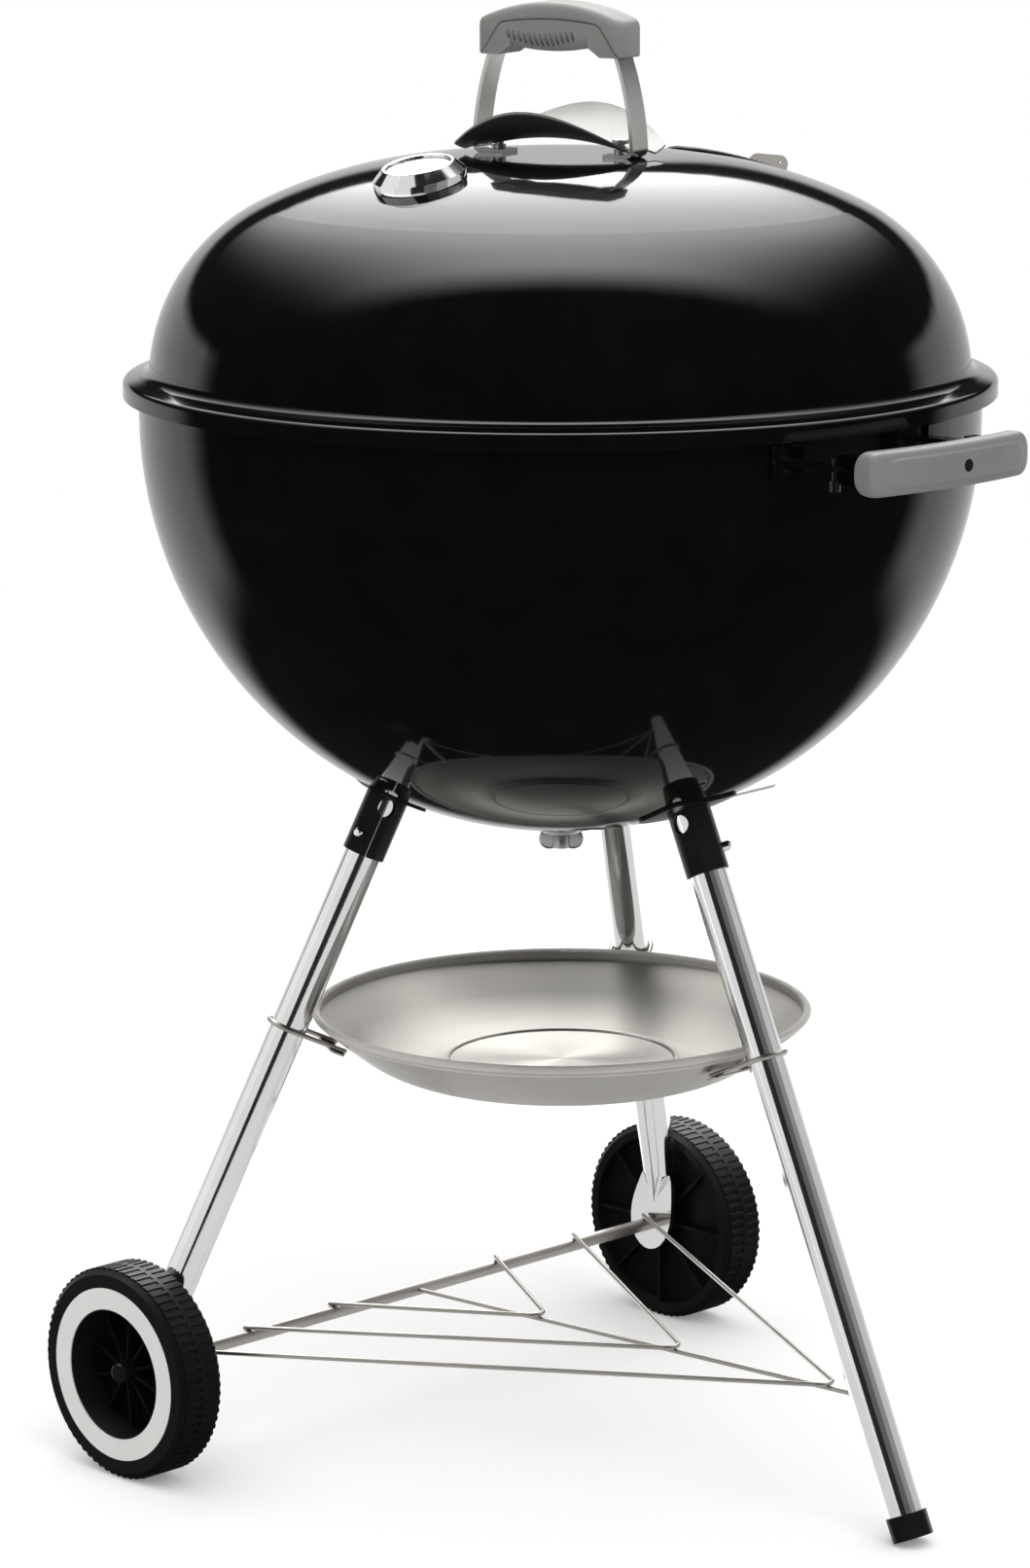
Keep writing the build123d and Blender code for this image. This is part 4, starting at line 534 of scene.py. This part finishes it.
def wheel_legs():
    """Both wheel legs."""
    for side, name in WHEEL_SIDES:
        wheel_leg(side, name)


def rounded(value, power):
    """A cosine or sine drawn towards a square's corners."""
    return copysign(abs(value) ** (2 / power), value)


def bowl_handle():
    """A moulded bar with soft ends, a raised pad and a flat black disc of painted shade where a hole is, on two
    dark arms.
    """
    rings = []
    for step in range(BAR_STEPS + 1):
        x = BAR_HALF * sin(pi * (step / BAR_STEPS - 0.5))
        past = max(0, (abs(x) - BAR_HALF + BAR_END) / BAR_END)
        size = max(END_LEAST, (1 - past ** END_SQUARE) ** (1 / END_SQUARE))
        y = BAR_Y - BAR_BOW * (1 - (x / BAR_HALF) ** 2)
        ring = []
        for index in range(BAR_SIDES):
            turn = 2 * pi * index / BAR_SIDES
            depth = BAR_DEPTH * rounded(cos(turn), BAR_SQUARE) * (END_DEPTH + (1 - END_DEPTH) * size)
            height = BAR_HEIGHT * rounded(sin(turn), BAR_SQUARE) * size
            reach = hypot(max(0, abs(x) - PAD_HALF), height)
            if cos(turn) > 0:
                depth += PAD_PROUD * min(1, max(0, (PAD_HEIGHT - reach) / PAD_EDGE))
            ring.append(Vector((BAR_X + x, y - depth, BAR_Z + height)) / 1000)
        rings.append(ring)
    points, faces = [], []
    sweep(points, faces, rings)
    faces += [tuple(range(BAR_SIDES)), tuple(range(len(points) - BAR_SIDES, len(points)))]
    bar = mesh_of("handle_bar", points, faces, crease=60)
    # The bar takes the nylon with painted shade, darker than the lid's grip
    add("handle_bar", bar, "shaded_nylon", "stand", ("bowl_handle",))
    front = BAR_Y - BAR_BOW - BAR_DEPTH - PAD_PROUD
    # A flat black disc just proud of the bar's front stands for a hole; its black is painted shade
    place = facing(Vector((HOLE_X, front - HOLE_PROUD, BAR_Z)) / 1000, (0, -1, 0))
    hole = lathe("handle_hole_painted_shade", ((HOLE_RADIUS, 0), (INNER_RING, 0)), place, segments=48)
    add("handle_hole_painted_shade", hole, "black_steel", "stand")
    points, faces = [], []
    corners = [(u * ARM_HALF, BAR_Z + v * ARM_HEIGHT) for u, v in SQUARE]
    for x in (BAR_X - ARM_X, BAR_X + ARM_X):
        ends = []
        for y in (BAR_Y, ARM_BACK):
            ends.append([Vector((x + u, y, z)) / 1000 for u, z in corners])
        sweep(points, faces, ends)
        faces.append(tuple(range(len(points) - 4, len(points))))
    add("handle_arms", mesh_of("handle_arms", points, faces), "enamel", "stand")


def wing_nut():
    """The cleaner's nut: a hub and two round ears."""
    low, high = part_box("wing_nut")
    middle = (Vector(low) + Vector(high)) / 2
    along = Vector((cos(NUT_TURN), sin(NUT_TURN), 0))
    thin = Vector((-along.y, along.x, 0))
    points, faces = [], []
    turn = facing(middle, (0, 0, 1))
    sweep(points, faces, [circle(turn @ Matrix.Translation((0, 0, z)), size) for size, z in NUT_HUB])
    for side in (-1, 1):
        place = facing(middle + along * (side * EAR_OUT) + Vector((0, 0, EAR_LIFT)), thin)
        ear = []
        for step in range(EAR_STEPS + 1):
            angle = pi * (step / EAR_STEPS - 0.5)
            size = max(EAR_LEAST, EAR_RADIUS * cos(angle) ** EAR_ROUND)
            ear.append(circle(place @ Matrix.Translation((0, 0, EAR_HALF * sin(angle))), size))
        sweep(points, faces, ear)
    mesh = mesh_of("nut_with_ears", points, faces, crease=50)
    add("nut_with_ears", mesh, "steel", "cleaner", ("wing_nut",))


def pan_floor():
    """The raised floor pressed into the pan, with a ring round it."""
    low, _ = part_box("ash_pan")
    floor = low[2] * 1000 + PAN_FLOOR
    top = floor + PLATEAU_RISE
    turns = [pi * step / RIDGE_STEPS for step in range(RIDGE_STEPS + 1)]
    skirt = [(PAN_RING + out, floor + rise) for out, rise in PAN_SKIRT]
    ridge = [(PAN_RING + RIDGE_HALF * cos(turn), top + RIDGE_RISE * sin(turn)) for turn in turns]
    profile = [*skirt, *ridge, (INNER_RING, top)]
    add("pan_floor", lathe("pan_floor", profile), "aluminium", "ash_pan")


dress()
soften("lid_handle_grip", GRIP_CELL, GRIP_PASSES)
thermometer()
flange_cove()
tread_beds()
wheel_legs()
bowl_handle()
wing_nut()
pan_floor()


# Studio

def studio_world():
    """White behind the grill for the camera and soft fill for matt surfaces. What is glossy mirrors a dark
    studio with a softbox over and behind the grill and a white backdrop."""
    world = bpy.data.worlds.new("studio")
    bpy.context.scene.world = world
    world.use_nodes = True
    tree = world.node_tree
    tree.nodes.clear()
    away = Vector((CAMERA_FORWARD.x, CAMERA_FORWARD.y, 0)).normalized()
    side = Vector((away.y, -away.x, 0))
    place = node(tree, "ShaderNodeTexCoord").outputs["Generated"]
    up = node(tree, "ShaderNodeSeparateXYZ", {"Vector": place}).outputs["Z"]
    back = vector_sums(tree, "DOT_PRODUCT", "Value", place, away)
    right = vector_sums(tree, "DOT_PRODUCT", "Value", place, side)

    over = sums(tree, "MAXIMUM", up, SOFTBOX_LOWEST)
    across = sums(tree, "DIVIDE", right, over)
    along = sums(tree, "DIVIDE", back, over)
    square = sums(tree, "MULTIPLY", across, across)
    bell = sums(tree, "EXPONENT", sums(tree, "MULTIPLY", square, SOFTBOX_FALLOFF))
    softbox = sums(tree, "MULTIPLY", bell, fade(tree, along, *SOFTBOX_NEAR))
    softbox = sums(tree, "MULTIPLY", softbox, fade(tree, along, *SOFTBOX_FAR))
    softbox = sums(tree, "MULTIPLY", softbox, fade(tree, up, *SOFTBOX_HORIZON))

    turn = sums(tree, "ABSOLUTE", sums(tree, "ARCTAN2", right, sums(tree, "MULTIPLY", back, -1.0)))
    backdrop = sums(tree, "MULTIPLY", fade(tree, turn, *BACKDROP_SIDES), fade(tree, up, *BACKDROP_TOP))
    backdrop = sums(tree, "MULTIPLY", backdrop, fade(tree, up, *BACKDROP_FOOT))

    level = sums(tree, "MULTIPLY_ADD", softbox, SOFTBOX_LEVEL, DARK_LEVEL)
    level = sums(tree, "MULTIPLY_ADD", backdrop, BACKDROP_LEVEL, level)
    path = node(tree, "ShaderNodeLightPath").outputs
    glossy = node(tree, "ShaderNodeBackground", {"Color": (1, 1, 1, 1), "Strength": level}).outputs[0]
    seen = sums(tree, "MAXIMUM", path["Is Camera Ray"], path["Is Transmission Ray"])
    bright = node(tree, "ShaderNodeMapRange", {"Value": seen, "To Min": FILL_LEVEL, "To Max": 1.0})
    fill = node(tree, "ShaderNodeBackground", {"Color": (1, 1, 1, 1), "Strength": bright.outputs["Result"]})
    mixed = node(tree, "ShaderNodeMixShader", {0: path["Is Glossy Ray"], 1: fill.outputs[0], 2: glossy})
    node(tree, "ShaderNodeOutputWorld", {"Surface": mixed.outputs[0]})


def card(place, target, width, height, level):
    """A pale card that only the bare metal mirrors."""
    data = bpy.data.lights.new("card", "AREA")
    data.shape = "RECTANGLE"
    data.size, data.size_y = width, height
    data.energy = CARD_WATTS * level * width * height
    made = bpy.data.objects.new("card", data)
    made.location = place
    made.rotation_euler = (Vector(target) - Vector(place)).to_track_quat("-Z", "Y").to_euler()
    made.visible_camera = False
    made.light_linking.receiver_collection = METALS
    bpy.context.scene.collection.objects.link(made)


def metal_cards():
    """Cards round and under the grill for its bare metal, with a dark gap at the camera."""
    camera_turn = atan2(-CAMERA_FORWARD.y, -CAMERA_FORWARD.x)
    for turn, width, level in CARDS:
        angle = camera_turn + radians(turn)
        place = (CARD_DISTANCE * cos(angle), CARD_DISTANCE * sin(angle), CARD_Z)
        card(place, (0, 0, CARD_Z), width, CARD_HEIGHT, level)
    card((0, 0, FLOOR_CARD_Z), (0, 0, 1), FLOOR_CARD_SIZE, FLOOR_CARD_SIZE, FLOOR_CARD_LEVEL)


def studio_floor():
    """A white floor that takes contact shadows, fades into the background and stays out of reflections."""
    mesh = bpy.data.meshes.new("floor")
    corners = [(x * FLOOR_RADIUS, y * FLOOR_RADIUS, 0) for x, y in SQUARE]
    mesh.from_pydata(corners, [], [(0, 1, 2, 3)])
    floor = bpy.data.objects.new("floor", mesh)
    bpy.context.scene.collection.objects.link(floor)
    made, tree, shader = material("floor_paper", Roughness=1.0, Base_Color=(1, 1, 1, 1),
                                  Specular_IOR_Level=0.0, Emission_Color=(1, 1, 1, 1))
    place = node(tree, "ShaderNodeTexCoord").outputs["Object"]
    far = vector_sums(tree, "LENGTH", "Value", place)
    near = node(tree, "ShaderNodeMapRange", {
        "Value": far, "From Min": FLOOR_FADE[0], "From Max": FLOOR_FADE[1], "To Min": 1.0, "To Max": 0.0})
    link(tree, near.outputs["Result"], shader, "Alpha")
    seen = node(tree, "ShaderNodeLightPath").outputs["Is Camera Ray"]
    link(tree, sums(tree, "MULTIPLY", seen, FLOOR_GLOW), shader, "Emission Strength")
    floor.data.materials.append(made)
    floor.visible_glossy = False


def sun(name, towards, strength, spread_deg):
    """A soft distant lamp that shines along a direction."""
    data = bpy.data.lights.new(name, "SUN")
    data.energy = strength
    data.angle = radians(spread_deg)
    made = bpy.data.objects.new(name, data)
    made.rotation_euler = Vector(towards).to_track_quat("-Z", "Y").to_euler()
    made.visible_glossy = False
    bpy.context.scene.collection.objects.link(made)


def studio_camera():
    """The photograph's camera."""
    data = bpy.data.cameras.new("camera")
    data.sensor_fit = "HORIZONTAL"
    data.sensor_width = CAMERA_SENSOR
    data.lens = CAMERA_LENS
    data.clip_end = CAMERA_REACH
    made = bpy.data.objects.new("camera", data)
    up = CAMERA_RIGHT.cross(CAMERA_FORWARD)
    turn = Matrix((CAMERA_RIGHT, up, -CAMERA_FORWARD)).transposed()
    made.matrix_world = Matrix.Translation(CAMERA_PLACE) @ turn.to_4x4()
    bpy.context.scene.collection.objects.link(made)
    bpy.context.scene.camera = made


studio_world()
studio_floor()
metal_cards()
sun("key", towards=(0.35, 0.85, -0.9), strength=0.75, spread_deg=50.0)
sun("top", towards=(-0.1, -0.1, -1.0), strength=0.95, spread_deg=80.0)
studio_camera()
bpy.context.scene.view_settings.view_transform = "Standard"
